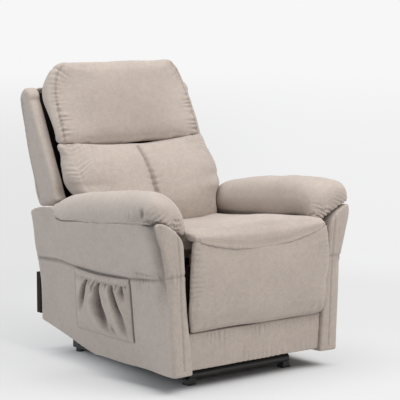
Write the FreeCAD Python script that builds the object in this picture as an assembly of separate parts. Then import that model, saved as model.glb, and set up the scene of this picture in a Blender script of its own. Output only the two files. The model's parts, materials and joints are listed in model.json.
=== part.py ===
"""A lift recliner chair: upholstered arms, seat, back and footrest on a steel lifting base.

Millimetres. X runs to the sitter's left, Y runs backwards, Z is up, and the floor is Z = 0.
The origin lies on the floor under the middle of the chair.
"""
import FreeCAD, Part
import math
import os

# Overall width and depth, and the gap left at every pivot that really turns
ARM_SPAN = 876.0
DEPTH = 950.0
REAR = DEPTH / 2
BACK_SHIFT = REAR - 475.0
RUNNING_GAP = 0.05
SOFT_GAP = 1.0

# Arms: half widths of the outer side at five heights, and the inner side
ARM_BOTTOM = 64.0
ARM_SEAM = 372.0
ARM_LOW_OUT = 363.0
ARM_SEAM_OUT = 386.0
ARM_MID_HEIGHT = 442.0
ARM_MID_OUT = 404.0
ARM_HIGH_HEIGHT = 530.0
ARM_HIGH_OUT = 427.0
ARM_LOW_IN = 284.0
ARM_LEAN_IN = 0.084
ARM_WALL = 14.0
ARM_FRONT = 35.0 - REAR
ARM_FACE = ARM_FRONT - 15.0
ARM_REAR_LOW = REAR - 125.0
ARM_REAR_SEAM = REAR - 144.0
ARM_REAR_HIGH = REAR - 142.0
ARM_CORNER = 30.0
ARM_CORNER_LOW = 12.0
ARM_KINK_Y = 3.0
ARM_REAR_BOTTOM = 138.0
SHOULDER_FRONT = 593.0
SHOULDER_MID = 552.0
SHOULDER_LOW = 530.0
SHOULDER_REAR = 560.0
SHOULDER_MID_Y = -153.0
ARM_INNER_TOP = 455.0
ARM_BOARD = 18.0

# Arm pads
PAD_TOP_FRONT = 672.0
PAD_TOP_REAR = 571.0
PAD_BACK_Y = REAR - 253.0
PAD_INNER = 284.0
PAD_CREST = 366.0

# Seat, footrest pad and kick panel, with the heights counted from the seat's underside
SEAT_HALF = 292.0
SEAT_BASE = 432.0
SEAT_BACK_Y = REAR - 285.0
SEAT_STEP_Y = ARM_FRONT + 105.0
SEAT_STEP = SEAT_BASE + 42.0
SEAT_THICK_FRONT = 134.0
SEAT_THICK_REAR = 62.0
SEAM_MIDDLE = SEAT_BASE + 40.0
SEAM_SIDE = SEAT_BASE + 90.0
LIP_FRONT = 4.0 - REAR
FOLD_GAP = 5.5
FOOT_PAD_BOTTOM = 208.0
FOOT_PAD_HALF = 300.0
FOOT_PAD_BACK = ARM_FRONT + 19.0
BOARD_THICK = 15.0
BOARD_HALF = 262.0
BOARD_TOP = SEAT_STEP - 12.0
KICK_BOTTOM = 75.0
KICK_TOP = 202.0
KICK_THICK = 24.0

# Back
BACK_PIVOT = (REAR - 192.0, 400.0)
WING_OUT = 366.0
WING_THICK = 44.0
WING_ROUND = 16.0
WING_NOTCH = (REAR - 260.0, 590.0)
WING_FRONT_TOP = (REAR - 82.0, 938.0)
WING_BOW = 16.0
SHELL_REAR_LOW = (REAR - 128.0, 549.0)
SHELL_REAR_TOP = (REAR - 1.0, 936.0)
SHELL_TOP = 980.0
SHELL_THICK = 34.0
SHELL_LOW_HALF = 244.0
SHELL_LOW_Z = 345.0
SKIRT_Z = 470.0
SKIRT_THICK = 12.0
CUSHION_HALF = 330.0
CUSHION_REAR_HALF = 306.0
HEAD_TOP = 1066.0
HEAD_SEAM = 762.0
HEAD_SEAM_SIDE = 786.0
LUMBAR_BOTTOM = 500.0
STILE_THICK = 12.0
STILE_DEPTH = 20.0
STILE_BEND = (REAR - 174.0, 566.0)
STILE_TOP = (REAR - 75.0, 878.0)

# Side plates, and the planes in which the links lie, counted inwards from the plate
PLATE_IN = 268.0
PLATE_THICK = 6.0
LINK_THICK = 5.0
LINK_GAP = 3.0
LINK_HALF = 10.0
RIVET = 4.0
OPEN_PIVOT_GAP = 2.2
OPEN_SLACK = 0.4

# Footrest linkage: a pantograph of equal bars, folded at a steep angle
FOLD_LINK = 190.0
FOLD_ANGLE = 80.0
OPEN_ANGLE = 22.0
FOLD_PIVOT = (ARM_FRONT + 122.0, SEAT_BASE - 24.0)
BRACE_EAR = (5.0, 45.0)
BRACE_HOLE = 29.0

# Lifting base
RAIL_X = 212.0
RAIL_WIDE = 30.0
RAIL_TALL = 40.0
RAIL_BOTTOM = 14.0
RAIL_WALL = 2.0
RAIL_FRONT = -325.0
RAIL_REAR = 345.0
FRONT_TUBE_R = 17.0
LIFT_PIVOT = (-200.0, 95.0)
LIFT_END = (205.0, 96.0)
LINK_PIVOT = (-270.0, 90.0)
LINK_END = (-20.0, 90.0)
LIFT_BAR = 8.0
LIFT_BAR_HALF = 17.0
PIN = 8.0
LIFT_ARM_IN = 244.0
LIFT_LINK_IN = 256.0
BRACKET_IN = 230.0
TORQUE_TUBE = (-120.0, 206.0)
TORQUE_R = 17.0
TORQUE_WALL = 3.0
LUG_HALF = 19.0
LUG_HOLE = (-160.0, 180.0)
LUG_IN = 13.0
LUG_THICK = 6.0
MOTOR_PIVOT = (300.0, 100.0)
RECLINE_PIVOT = (-150.0, 300.0)
RECLINE_LUG = (REAR - 150.0, 300.0)
MOTOR_TUBE_R = 19.0
ROD_R = 10.0

# Side pocket and handset
POCKET_FRONT = -258.0
POCKET_REAR = 74.0
POCKET_BOTTOM = 164.0
POCKET_TOP = 360.0
POCKET_ROOM = 22.0
POCKET_TOE = 8.0
POCKET_BELLY = 0.2
POCKET_CLOTH = 4.0
POCKET_FOLDS = 5
POCKET_FOLD_DEEP = 7.0
HANDSET_WIDE = 50.0
HANDSET_LONG = 130.0
HANDSET_THICK = 16.0
HANDSET_Y = -20.0
HANDSET_Z = 272.0
BUTTON_R = 7.0

V = FreeCAD.Vector
parts = {}


# Small helpers

def box(x0, x1, y0, y1, z0, z1):
    return Part.makeBox(x1 - x0, y1 - y0, z1 - z0, V(x0, y0, z0))


def on_side(x):
    """Places a (y, z) point in the plane X = x."""
    return lambda p: V(x, p[0], p[1])


def on_front(y):
    """Places an (x, z) point in the plane Y = y."""
    return lambda p: V(p[0], y, p[1])


def on_level(z):
    """Places an (x, y) point in the plane Z = z."""
    return lambda p: V(p[0], p[1], z)


def outline(start, steps, place):
    """A closed wire. A step is an end point for a line, or (middle, end) for an arc."""
    edges = []
    at = start
    for step in steps:
        if isinstance(step[0], tuple):
            middle, end = step
            edges.append(Part.Arc(place(at), place(middle), place(end)).toShape())
        else:
            end = step
            edges.append(Part.makeLine(place(at), place(end)))
        at = end
    if at != start:
        edges.append(Part.makeLine(place(at), place(start)))
    return Part.Wire(edges)


def prism(wire, direction):
    return Part.Face(wire).extrude(direction)


def loft(wires, ruled=False):
    return Part.makeLoft(wires, True, ruled)


def side_plate(points, x0, x1):
    """A plate between X = x0 and x1 with a (y, z) polygon as its outline."""
    return prism(outline(points[0], points[1:], on_side(x0)), V(x1 - x0, 0, 0))


def rod_x(point, radius, x0, x1):
    """A round bar along X through a (y, z) point."""
    return Part.makeCylinder(radius, x1 - x0, V(x0, point[0], point[1]), V(1, 0, 0))


def bar(start, end, half, x0, x1):
    """A flat bar with round ends between two (y, z) points."""
    dy, dz = end[0] - start[0], end[1] - start[1]
    length = math.hypot(dy, dz)
    ny, nz = -dz / length * half, dy / length * half
    body = side_plate([(start[0] + ny, start[1] + nz), (end[0] + ny, end[1] + nz),
                       (end[0] - ny, end[1] - nz), (start[0] - ny, start[1] - nz)], x0, x1)
    return body.fuse([rod_x(start, half, x0, x1), rod_x(end, half, x0, x1)]).removeSplitter()


def tube_between(start, end, radius, bore, x=0.0):
    """A round tube between two (y, z) points in the plane X = x. A bore of 0 is a solid bar."""
    a, b = V(x, start[0], start[1]), V(x, end[0], end[1])
    along = b - a
    body = Part.makeCylinder(radius, along.Length, a, along)
    if bore:
        body = body.cut(Part.makeCylinder(bore, along.Length, a, along))
    return body


def mirrored(shape):
    return shape.mirror(V(0, 0, 0), V(1, 0, 0))


def pair(name, shape):
    """The left piece as built, and its mirror image as the right piece."""
    parts[name + "_left"] = shape
    parts[name + "_right"] = mirrored(shape)


def both(shape):
    """A left and a right copy that share one node."""
    return Part.makeCompound([shape, mirrored(shape)])


def between(low, high, share):
    return low + (high - low) * share


def along(start, end, share):
    """The (y, z) point a share of the way between two others."""
    return (between(start[0], end[0], share), between(start[1], end[1], share))


# Arms

def arm_out(z):
    """Half width of the arm's outer side at a height."""
    levels = arm_levels()
    for (z0, x0, _), (z1, x1, _) in zip(levels, levels[1:]):
        if z <= z1:
            return between(x0, x1, (z - z0) / (z1 - z0))
    return levels[-1][1]


def arm_levels():
    """Height, outer half width and rear edge of the arm."""
    return [(ARM_BOTTOM, ARM_LOW_OUT, ARM_REAR_LOW),
            (ARM_SEAM, ARM_SEAM_OUT, ARM_REAR_SEAM),
            (ARM_MID_HEIGHT, ARM_MID_OUT, between(ARM_REAR_SEAM, ARM_REAR_HIGH, 0.2)),
            (ARM_HIGH_HEIGHT, ARM_HIGH_OUT, ARM_REAR_HIGH),
            (SHOULDER_FRONT + 7, ARM_SPAN / 2, ARM_REAR_HIGH - 15)]


def arm_plan(z, x_out, rear, wall):
    """The arm seen from above at one height, with round front corners, drawn in by a wall."""
    x_in = arm_in(z) + wall
    x_out -= wall
    front = ARM_FACE + wall
    rear -= wall
    height_share = min(max((z - ARM_BOTTOM) / (ARM_SEAM - ARM_BOTTOM), 0.0), 1.0)
    corner = between(ARM_CORNER_LOW, ARM_CORNER, height_share)
    big = corner - wall / 2
    small = corner / 2 - wall / 3
    cut = 1 - math.sqrt(0.5)
    return outline((x_in, front + small),
                   [((x_in + small * cut, front + small * cut), (x_in + small, front)),
                    (x_out - big, front),
                    ((x_out - big * cut, front + big * cut), (x_out, front + big)),
                    (x_out, rear - big),
                    ((x_out - big * cut, rear - big * cut), (x_out - big, rear)),
                    (x_in, rear)], on_level(z))


def arm_top(y, shoulder, drop):
    """The space above the arm: a curve that climbs from the inner side to the shoulder."""
    low = ARM_INNER_TOP - drop
    high = shoulder - drop
    x_low = arm_in(ARM_INNER_TOP) - 5
    x_high = ARM_SPAN / 2 + 3
    above = SHOULDER_FRONT + 120
    return outline((x_low - 60, low),
                   [(x_low, low),
                    ((between(x_low, x_high, 0.3), between(low, high, 0.67)), (x_high, high)),
                    (x_high + 20, high), (x_high + 20, above), (x_low - 60, above)], on_front(y))


def space_above_arm(drop):
    """Everything above the arm's curved top, which dips under the pad and rises behind it."""
    stations = [(ARM_FACE - 45, SHOULDER_FRONT), (SHOULDER_MID_Y, SHOULDER_MID),
                (PAD_BACK_Y - 102, SHOULDER_LOW), (PAD_BACK_Y - 7, SHOULDER_REAR - 14),
                (PAD_BACK_Y + 28, SHOULDER_REAR), (PAD_BACK_Y + 63, SHOULDER_REAR - 11),
                (PAD_BACK_Y + 98, SHOULDER_REAR - 40), (ARM_REAR_LOW + 10, SHOULDER_REAR - 90)]
    return loft([arm_top(y, shoulder, drop) for y, shoulder in stations], ruled=True)


def arm_body(wall):
    """The whole arm as one filled form, drawn in by a wall."""
    levels = arm_levels()
    if wall:
        first = levels[0]
        levels = [(first[0] - 30, first[1], first[2])] + levels
    body = loft([arm_plan(z, x, rear, wall) for z, x, rear in levels], ruled=True)
    body = body.cut(space_above_arm(wall))
    if wall:
        return body
    slope = (ARM_REAR_BOTTOM - ARM_BOTTOM) / (ARM_REAR_LOW - ARM_KINK_Y)
    behind = ARM_REAR_LOW + 60
    under = side_plate([(ARM_KINK_Y, ARM_BOTTOM), (behind, ARM_BOTTOM + slope * (behind - ARM_KINK_Y)),
                        (behind, 0), (ARM_KINK_Y, 0)], ARM_LOW_IN - 40, ARM_SPAN / 2 + 40)
    return body.cut(under)


def arm_in(z):
    """Half width to the arm's inner side at a height."""
    return ARM_LOW_IN + ARM_LEAN_IN * (z - ARM_BOTTOM)


def leaning_slab(start, end, front, rear, bottom, top):
    """A slab that leans with the arm's inner side, between two distances outwards from it."""
    wires = []
    for z in (bottom, top):
        x0, x1 = arm_in(z) + start, arm_in(z) + end
        wires.append(outline((x0, front), [(x1, front), (x1, rear), (x0, rear)], on_level(z)))
    return loft(wires, ruled=True)


def build_arms():
    filled = arm_body(0)
    skin = filled.cut(arm_body(ARM_WALL))
    slab = leaning_slab(-5, ARM_WALL, ARM_FACE + ARM_CORNER / 2, ARM_REAR_LOW + 20,
                        ARM_BOTTOM - 20, SHOULDER_FRONT)
    pair("arm_cover", skin.cut(slab))
    pair("arm_inner", skin.common(slab))
    pair("arm_board", leaning_slab(ARM_WALL, ARM_WALL + ARM_BOARD, ARM_FRONT + 42, ARM_REAR_HIGH - 52,
                                   ARM_REAR_BOTTOM + 2, ARM_INNER_TOP - ARM_WALL - 6))
    pair("arm_pad", arm_pad().common(space_above_arm(0)))


def pad_section(y, shoulder, top, inner, swell):
    """Cross-section of the pad. Its underside lies below the arm's top and is cut off there."""
    x_out = arm_out(shoulder)
    mid = between(shoulder, top, 0.58)
    return outline((x_out, shoulder),
                   [((x_out - 9 + swell, mid), (PAD_CREST + 6, top)),
                    ((PAD_INNER + 24, top - 20), (PAD_INNER, top - 60)),
                    ((PAD_INNER - 5, between(top - 60, inner, 0.5)), (PAD_INNER + 6, inner)),
                    (PAD_INNER + 30, inner - 12),
                    (PAD_INNER + 46, inner - 95),
                    (x_out, shoulder - 60)], on_front(y))


def pad_nose(y, share):
    """Cross-section of the nose that hangs over the arm's front, smaller as it comes forward."""
    centre = (between(PAD_INNER, ARM_SPAN / 2, 0.47), between(SHOULDER_FRONT, PAD_TOP_FRONT, 0.2))

    def toward(x, z):
        return (between(x, centre[0], share), between(z, centre[1], share))

    x_out = ARM_SPAN / 2 - 2
    inner = SEAM_SIDE + 30
    crest = toward(PAD_CREST + 6, PAD_TOP_FRONT)
    return outline(toward(x_out, SHOULDER_FRONT),
                   [(toward(x_out - 7, between(SHOULDER_FRONT, PAD_TOP_FRONT, 0.6)), crest),
                    (toward(PAD_INNER + 24, PAD_TOP_FRONT - 20), toward(PAD_INNER, PAD_TOP_FRONT - 60)),
                    (toward(PAD_INNER - 5, inner + 20), toward(PAD_INNER + 6, inner)),
                    (toward(PAD_INNER + 66, inner + 20), toward(x_out, SHOULDER_FRONT))], on_front(y))


def arm_pad():
    stations = [(ARM_FRONT + 20, SHOULDER_FRONT, PAD_TOP_FRONT, 552.0, 3.0),
                (-300.0, 571.0, 671.0, 542.0, 4.0),
                (-130.0, 551.0, 658.0, 530.0, 3.0),
                (PAD_BACK_Y - 155, 537.0, 627.0, 514.0, 2.0),
                (PAD_BACK_Y - 64, 525.0, 603.0, 506.0, 0.0)]
    body = loft([pad_section(*s) for s in stations])
    end = loft([pad_section(*stations[-1]),
                pad_section(PAD_BACK_Y, 520.0, PAD_TOP_REAR, 500.0, -8.0)], ruled=True)
    nose_tip = -REAR
    nose = loft([pad_nose(ARM_FRONT + 20, 0.0), pad_nose(ARM_FRONT, 0.06),
                 pad_nose(between(ARM_FRONT, nose_tip, 0.55), 0.2), pad_nose(nose_tip, 0.55)])
    return body.fuse([end, nose]).removeSplitter()


# Seat, footrest pad and kick panel

def seat_section(y, crest, edge, base, half):
    """Crowned cross-section of the seat cushion with sides that pull in a little."""
    pull = 5.0
    mid = between(base, edge, 0.5)
    return outline((-half, base),
                   [(half, base),
                    ((half - pull, mid), (half, edge)),
                    ((0, crest), (-half, edge)),
                    ((-half + pull, mid), (-half, base))], on_front(y))


def below_front_seam(offset, front, back):
    """Everything under the curved seam at the chair's front, moved up by an offset."""
    wide = ARM_SPAN / 2
    half = SEAT_HALF + 10
    wire = outline((-half, SEAM_SIDE + offset),
                   [((0, SEAM_MIDDLE + offset), (half, SEAM_SIDE + offset)),
                    (wide, SEAM_SIDE + offset), (wide, 0), (-wide, 0), (-wide, SEAM_SIDE + offset)],
                   on_front(front))
    return prism(wire, V(0, back - front, 0))


def build_seat():
    rear = SEAT_BASE + SEAT_THICK_REAR
    front = SEAT_BASE + SEAT_THICK_FRONT
    stations = [(SEAT_BACK_Y, rear, rear - 17, SEAT_BASE, SEAT_HALF - 4),
                (SEAT_BACK_Y - 170, rear + 9, rear - 7, SEAT_BASE, SEAT_HALF),
                (SEAT_BACK_Y - 360, rear + 29, rear + 11, SEAT_BASE, SEAT_HALF),
                (SEAT_STEP_Y + 5, front - 8, front - 33, SEAT_BASE, SEAT_HALF)]
    lip = [stations[-1],
           (ARM_FRONT + 40, front, front - 24, SEAT_BASE, SEAT_HALF),
           (ARM_FRONT - 5, front - 10, front - 25, SEAT_BASE + 8, SEAT_HALF + 3),
           (LIP_FRONT, front - 50, front - 35, SEAT_BASE + 20, SEAT_HALF - 6)]
    cushion = loft([seat_section(*s) for s in stations], ruled=True)
    cushion = cushion.fuse(loft([seat_section(*s) for s in lip], ruled=True)).removeSplitter()
    step = box(-ARM_SPAN, ARM_SPAN, LIP_FRONT - 20, SEAT_STEP_Y, 0, SEAT_STEP)
    cushion = cushion.cut(step)
    parts["seat_cushion"] = cushion.cut(below_front_seam(FOLD_GAP, LIP_FRONT - 20, FOOT_PAD_BACK + 25))


def foot_section(y, half, bottom, bulge):
    """Outline of the footrest pad seen from the front, with sides that swell at mid-height."""
    top = SEAM_SIDE + 20
    mid = between(bottom, SEAM_SIDE, 0.45)
    return outline((-half + 12, bottom),
                   [(half - 12, bottom),
                    ((half + bulge, mid), (half - 8, top)),
                    (-half + 8, top),
                    ((-half - bulge, mid), (-half + 12, bottom))], on_front(y))


def build_footrest_soft():
    stations = [(FOOT_PAD_BACK, FOOT_PAD_HALF - 27, FOOT_PAD_BOTTOM + 4, -2.0),
                (ARM_FRONT, FOOT_PAD_HALF - 18, FOOT_PAD_BOTTOM, 2.0),
                (ARM_FACE - 3, FOOT_PAD_HALF - 10, FOOT_PAD_BOTTOM + 4, 9.0),
                (between(ARM_FACE, -REAR, 0.7), FOOT_PAD_HALF - 10, FOOT_PAD_BOTTOM + 16, 14.0),
                (-REAR, FOOT_PAD_HALF - 30, FOOT_PAD_BOTTOM + 50, 14.0)]
    pad = loft([foot_section(*s) for s in stations], ruled=True)
    pad = pad.common(below_front_seam(-FOLD_GAP, -REAR - 10, FOOT_PAD_BACK + 10))
    parts["footrest_pad"] = pad
    board_front = FOOT_PAD_BACK
    parts["footrest_board"] = box(-BOARD_HALF, BOARD_HALF, board_front, board_front + BOARD_THICK,
                                  FOOT_PAD_BOTTOM + 6, BOARD_TOP)
    low, high = arm_in(KICK_BOTTOM), arm_in(KICK_TOP)
    face = outline((-low, KICK_BOTTOM), [(low, KICK_BOTTOM), (high, KICK_TOP), (-high, KICK_TOP)],
                   on_front(ARM_FRONT))
    parts["kick_panel"] = prism(face, V(0, KICK_THICK, 0))


# Back

def rear_line(z):
    """Y of the back shell's rear face at a height."""
    slope = (SHELL_REAR_TOP[0] - SHELL_REAR_LOW[0]) / (SHELL_REAR_TOP[1] - SHELL_REAR_LOW[1])
    return SHELL_REAR_LOW[0] + slope * (z - SHELL_REAR_LOW[1])


def wing_outline(x):
    """Side view of a wing: a leaning front edge, a rounded top, and a notch over the arm pad's end."""
    low_y, low_z = SHELL_REAR_LOW
    top_y, top_z = SHELL_REAR_TOP
    front_y, front_z = WING_FRONT_TOP
    middle = (between(low_y, top_y, 0.5) + WING_BOW, between(low_z, top_z, 0.5))
    return outline(SHELL_REAR_LOW,
                   [(middle, SHELL_REAR_TOP),
                    ((top_y - 14, SHELL_TOP - 8), (top_y - 50, SHELL_TOP)),
                    ((front_y + 8, SHELL_TOP - 12), WING_FRONT_TOP),
                    WING_NOTCH,
                    (WING_NOTCH[0] + 20, WING_NOTCH[1] - 18)], on_side(x))


def build_back_shell():
    wing = prism(wing_outline(WING_OUT - WING_THICK), V(WING_THICK, 0, 0))
    outer = [e for e in wing.Edges if all(abs(v.X - WING_OUT) < 0.01 for v in e.Vertexes)]
    wing = wing.makeFillet(WING_ROUND, outer)
    low_y, low_z = SHELL_REAR_LOW
    top_y, top_z = SHELL_REAR_TOP
    half = WING_OUT - WING_THICK
    panel = side_plate([SHELL_REAR_LOW, SHELL_REAR_TOP, (top_y - 14, SHELL_TOP - 14),
                        (top_y - 40, SHELL_TOP - 4),
                        (rear_line(SHELL_TOP - 40) - SHELL_THICK, SHELL_TOP - 40),
                        (low_y - SHELL_THICK, low_z)], -half, half)
    skirt = side_plate([(rear_line(SKIRT_Z), SKIRT_Z), SHELL_REAR_LOW, (low_y - SKIRT_THICK, low_z),
                        (rear_line(SKIRT_Z) - SKIRT_THICK, SKIRT_Z)], -half + 12, half - 12)
    low = side_plate([(rear_line(SHELL_LOW_Z), SHELL_LOW_Z), SHELL_REAR_LOW, (low_y - SHELL_THICK, low_z),
                      (rear_line(SHELL_LOW_Z) - SHELL_THICK + 14, SHELL_LOW_Z)],
                     -SHELL_LOW_HALF, SHELL_LOW_HALF)
    parts["back_shell"] = panel.fuse([low, skirt, wing, mirrored(wing)]).removeSplitter()


def above_head_seam(offset, top):
    """The space above the sagging seam between the head and lumbar cushions."""
    half = CUSHION_HALF + 20
    wire = outline((-half, HEAD_SEAM_SIDE + offset),
                   [((0, HEAD_SEAM + offset), (half, HEAD_SEAM_SIDE + offset)), (half, top), (-half, top)],
                   on_front(0))
    return prism(wire, V(0, REAR, 0))


def wing_room():
    """The wings with a small gap round them, which the back cushions leave free."""
    wing = prism(wing_outline(WING_OUT - WING_THICK - SOFT_GAP), V(WING_THICK + 20, 0, 0))
    wing.translate(V(0, -2 * SOFT_GAP, 0))
    return wing.fuse(mirrored(wing))


def cushion_plan(z, half, front_edge, front_mid, rear):
    """A back cushion seen from above at one height: crowned front, and ends that swell round the wings."""
    front_edge, front_mid, rear = front_edge + BACK_SHIFT, front_mid + BACK_SHIFT, rear + BACK_SHIFT
    rear_half = min(half - 12, CUSHION_REAR_HALF)
    end_mid = between(front_edge, rear, 0.35)
    return outline((-rear_half, rear),
                   [(rear_half, rear),
                    ((half, end_mid), (half - 24, front_edge)),
                    ((0, front_mid), (-half + 24, front_edge)),
                    ((-half, end_mid), (-rear_half, rear))], on_level(z))


def build_head_cushion():
    levels = [(HEAD_SEAM - 14, CUSHION_HALF - 6, 300.0, 292.0, 334.0),
              (800.0, CUSHION_HALF, 300.0, 278.0, 348.0),
              (860.0, CUSHION_HALF, 315.0, 286.0, 372.0),
              (920.0, CUSHION_HALF - 3, 330.0, 300.0, 397.0),
              (980.0, CUSHION_HALF - 13, 344.0, 316.0, 408.0),
              (1025.0, CUSHION_HALF - 33, 353.0, 331.0, 405.0),
              (1050.0, CUSHION_HALF - 53, 360.0, 343.0, 398.0),
              (1061.0, CUSHION_HALF - 70, 366.0, 353.0, 391.0),
              (HEAD_TOP, CUSHION_HALF - 92, 373.0, 364.0, 384.0)]
    cushion = loft([cushion_plan(*level) for level in levels]).cut(wing_room())
    parts["head_cushion"] = cushion.common(above_head_seam(SOFT_GAP / 2, HEAD_TOP + 20))


def lumbar_plan(z, half, edge, lobe, seam, rear):
    """The lumbar cushion from above: two lobes with a sewn valley between them."""
    edge, lobe, seam, rear = edge + BACK_SHIFT, lobe + BACK_SHIFT, seam + BACK_SHIFT, rear + BACK_SHIFT
    lobe_x = half * 0.5
    rear_half = min(half - 12, CUSHION_REAR_HALF)
    end_mid = between(edge, rear, 0.35)
    return outline((-rear_half, rear),
                   [(rear_half, rear),
                    ((half, end_mid), (half - 22, edge)),
                    ((lobe_x + 8, lobe), (5, seam)),
                    (-5, seam),
                    ((-lobe_x - 8, lobe), (-half + 22, edge)),
                    ((-half, end_mid), (-rear_half, rear))], on_level(z))


def build_lumbar_cushion():
    low_half = PAD_INNER - 16
    levels = [(LUMBAR_BOTTOM, low_half, 116.0, 92.0, 108.0, 232.0),
              (535.0, low_half, 116.0, 82.0, 108.0, 240.0),
              (570.0, low_half + 2, 126.0, 84.0, 118.0, 250.0),
              (612.0, CUSHION_HALF - 30, 146.0, 100.0, 136.0, 262.0),
              (655.0, CUSHION_HALF + 4, 172.0, 124.0, 158.0, 280.0),
              (705.0, CUSHION_HALF + 8, 206.0, 160.0, 191.0, 298.0),
              (748.0, CUSHION_HALF + 4, 244.0, 208.0, 233.0, 314.0),
              (HEAD_SEAM_SIDE + 8, CUSHION_HALF - 6, 288.0, 268.0, 280.0, 334.0)]
    cushion = loft([lumbar_plan(*level) for level in levels]).cut(wing_room())
    parts["lumbar_cushion"] = cushion.cut(above_head_seam(-SOFT_GAP / 2, HEAD_TOP))


def build_back_frame():
    """Two steel stiles with crossbars, and elastic straps between the bars."""
    bend = STILE_BEND
    top = STILE_TOP
    x0 = PLATE_IN - LINK_GAP - STILE_THICK
    x1 = x0 + STILE_THICK
    half = STILE_DEPTH / 2
    stile = bar(BACK_PIVOT, bend, half, x0, x1).fuse(bar(bend, top, half, x0, x1))
    stile = stile.fuse(rod_x(BACK_PIVOT, half + 7, x0, x1)).removeSplitter()
    stile = stile.cut(rod_x(BACK_PIVOT, PIN + RUNNING_GAP, x0 - 1, x1 + 1))
    bars = []
    for share in (0.05, 0.95):
        y, z = along(bend, top, share)
        bars.append(box(-x0, x0, y - 8, y + 8, z - 12, z + 12))
    low_y, low_z = along(BACK_PIVOT, bend, 0.12)
    low_front = rear_line(low_z) - SHELL_THICK - 20
    bars.append(box(-x0, x0, low_front - 10, low_front + 6, low_z - 40, low_z - 16))
    foot = side_plate([(low_front - 10, low_z - 40), (low_y + 8, low_z - 30), (low_y + 8, low_z + 20),
                       (low_front - 10, low_z)], x0, x1)
    lug_y, lug_z = RECLINE_LUG
    lug = side_plate([(low_front - 8, low_z - 30), (low_front - 8, lug_z + 18), (lug_y - 12, lug_z - 13),
                      (lug_y + 12, lug_z - 11), (lug_y + 12, lug_z + 12), (lug_y - 6, lug_z + 19),
                      (low_front + 8, SHELL_LOW_Z - 8), (low_front + 6, low_z - 30)],
                     LUG_IN, LUG_IN + LUG_THICK)
    slot = bar((lug_y + 0.5, lug_z), (lug_y - 3.2, lug_z + 5.9), PIN / 2 + 1.4, -40, 40)
    hole = rod_x(BACK_PIVOT, PIN + RUNNING_GAP, -PLATE_IN, PLATE_IN)
    frame = stile.fuse([mirrored(stile), foot.cut(hole), mirrored(foot).cut(hole)] + bars
                       + [lug.cut(slot), mirrored(lug).cut(slot)])
    parts["back_frame"] = frame.removeSplitter()
    low = along(bend, top, 0.05)
    high = along(bend, top, 0.95)
    straps = []
    for x in (-180, -60, 60, 180):
        strap = side_plate([(low[0] - 10.5, low[1] - 10), (high[0] - 10.5, high[1] + 10),
                            (high[0] - 8, high[1] + 10), (low[0] - 8, low[1] - 10)], x - 20, x + 20)
        straps.append(strap.cut(bars[0]).cut(bars[1]))
    parts["back_straps"] = Part.makeCompound(straps)


# Chair frame

def build_side_plates():
    x0, x1 = PLATE_IN, PLATE_IN + PLATE_THICK
    fold_y, fold_z = FOLD_PIVOT
    plate = side_plate([(fold_y - 20, 200), (fold_y - 20, fold_z + 17), (BACK_PIVOT[0] + 22, fold_z + 17),
                        (BACK_PIVOT[0] + 22, 372), (LIFT_END[0] + 24, 240), (LIFT_END[0] + 24, 76),
                        (LINK_END[0] - 24, 70), (LINK_END[0] - 40, 112), (fold_y + 70, 200)], x0, x1)
    holes = [rod_x(LIFT_END, PIN + RUNNING_GAP, x0 - 1, x1 + 1),
             rod_x(LINK_END, PIN + OPEN_PIVOT_GAP, x0 - 1, x1 + 1),
             rod_x(BACK_PIVOT, PIN, x0 - 1, x1 + 1),
             rod_x(FOLD_PIVOT, RIVET + RUNNING_GAP, x0 - 1, x1 + 1)]
    reach = FOLD_LINK * math.sin(math.radians(FOLD_ANGLE))
    reach_open = FOLD_LINK * math.sin(math.radians(OPEN_ANGLE))
    holes.append(bar((fold_y, fold_z - reach - 1), (fold_y, fold_z - reach_open + 1),
                     RIVET + OPEN_SLACK, x0 - 1, x1 + 1))
    pair("side_plate", plate.cut(Part.makeCompound(holes)))


def build_seat_frame():
    inner = PLATE_IN
    front_y = FOLD_PIVOT[0] + 16
    rail_top = SEAT_BASE - 3
    parts["seat_front_rail"] = box(-inner, inner, front_y, front_y + 30, rail_top - 34, rail_top)
    rear_y = SEAT_BACK_Y + 6
    parts["seat_rear_rail"] = box(-inner, inner, rear_y, rear_y + 24, rail_top - 34, rail_top)
    straps = []
    for i in range(6):
        x = (i - 2.5) * 84
        straps.append(box(x - 24, x + 24, front_y, rear_y + 24, rail_top, SEAT_BASE))
    parts["seat_straps"] = Part.makeCompound(straps)
    rail_x = ARM_LOW_IN + 40
    rail = box(PLATE_IN + PLATE_THICK, rail_x, ARM_FRONT + 140, BACK_PIVOT[0] - 13, 330, 400)
    pair("side_rail", rail.cut(arm_body(0)))


def build_rear_cover():
    """A shallow black tray of stretched cloth behind the arms, low at the back."""
    y0 = ARM_REAR_LOW + SOFT_GAP
    y1 = ARM_REAR_LOW + 26
    outer = box(-ARM_LOW_OUT, ARM_LOW_OUT, y0, y1, 157, 307)
    room = box(-ARM_LOW_OUT + 8, ARM_LOW_OUT - 8, y0 - 1, y1 - 8, 150, 315)
    stay = box(PLATE_IN + PLATE_THICK, PLATE_IN + PLATE_THICK + 8, 200, y1 - 8, 246, 300)
    parts["rear_cover"] = outer.cut(room).fuse([stay, mirrored(stay)]).removeSplitter()


def build_controls():
    """Control box under the seat straps and the power inlet on the rear cover."""
    y0 = 40.0
    parts["control_box"] = box(70, 190, y0, y0 + 90, 372, SEAT_BASE - 3)
    y1 = ARM_REAR_LOW + 26
    inlet = box(150, 186, y1, y1 + 8, 190, 216)
    well = box(155, 181, y1 + 3, y1 + 9, 195, 211)
    pins = [box(162 + 12 * i, 164 + 12 * i, y1 + 2.5, y1 + 7, 199, 207) for i in range(2)]
    parts["power_inlet"] = inlet.cut(well).fuse(pins)


# Side pocket and handset

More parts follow.
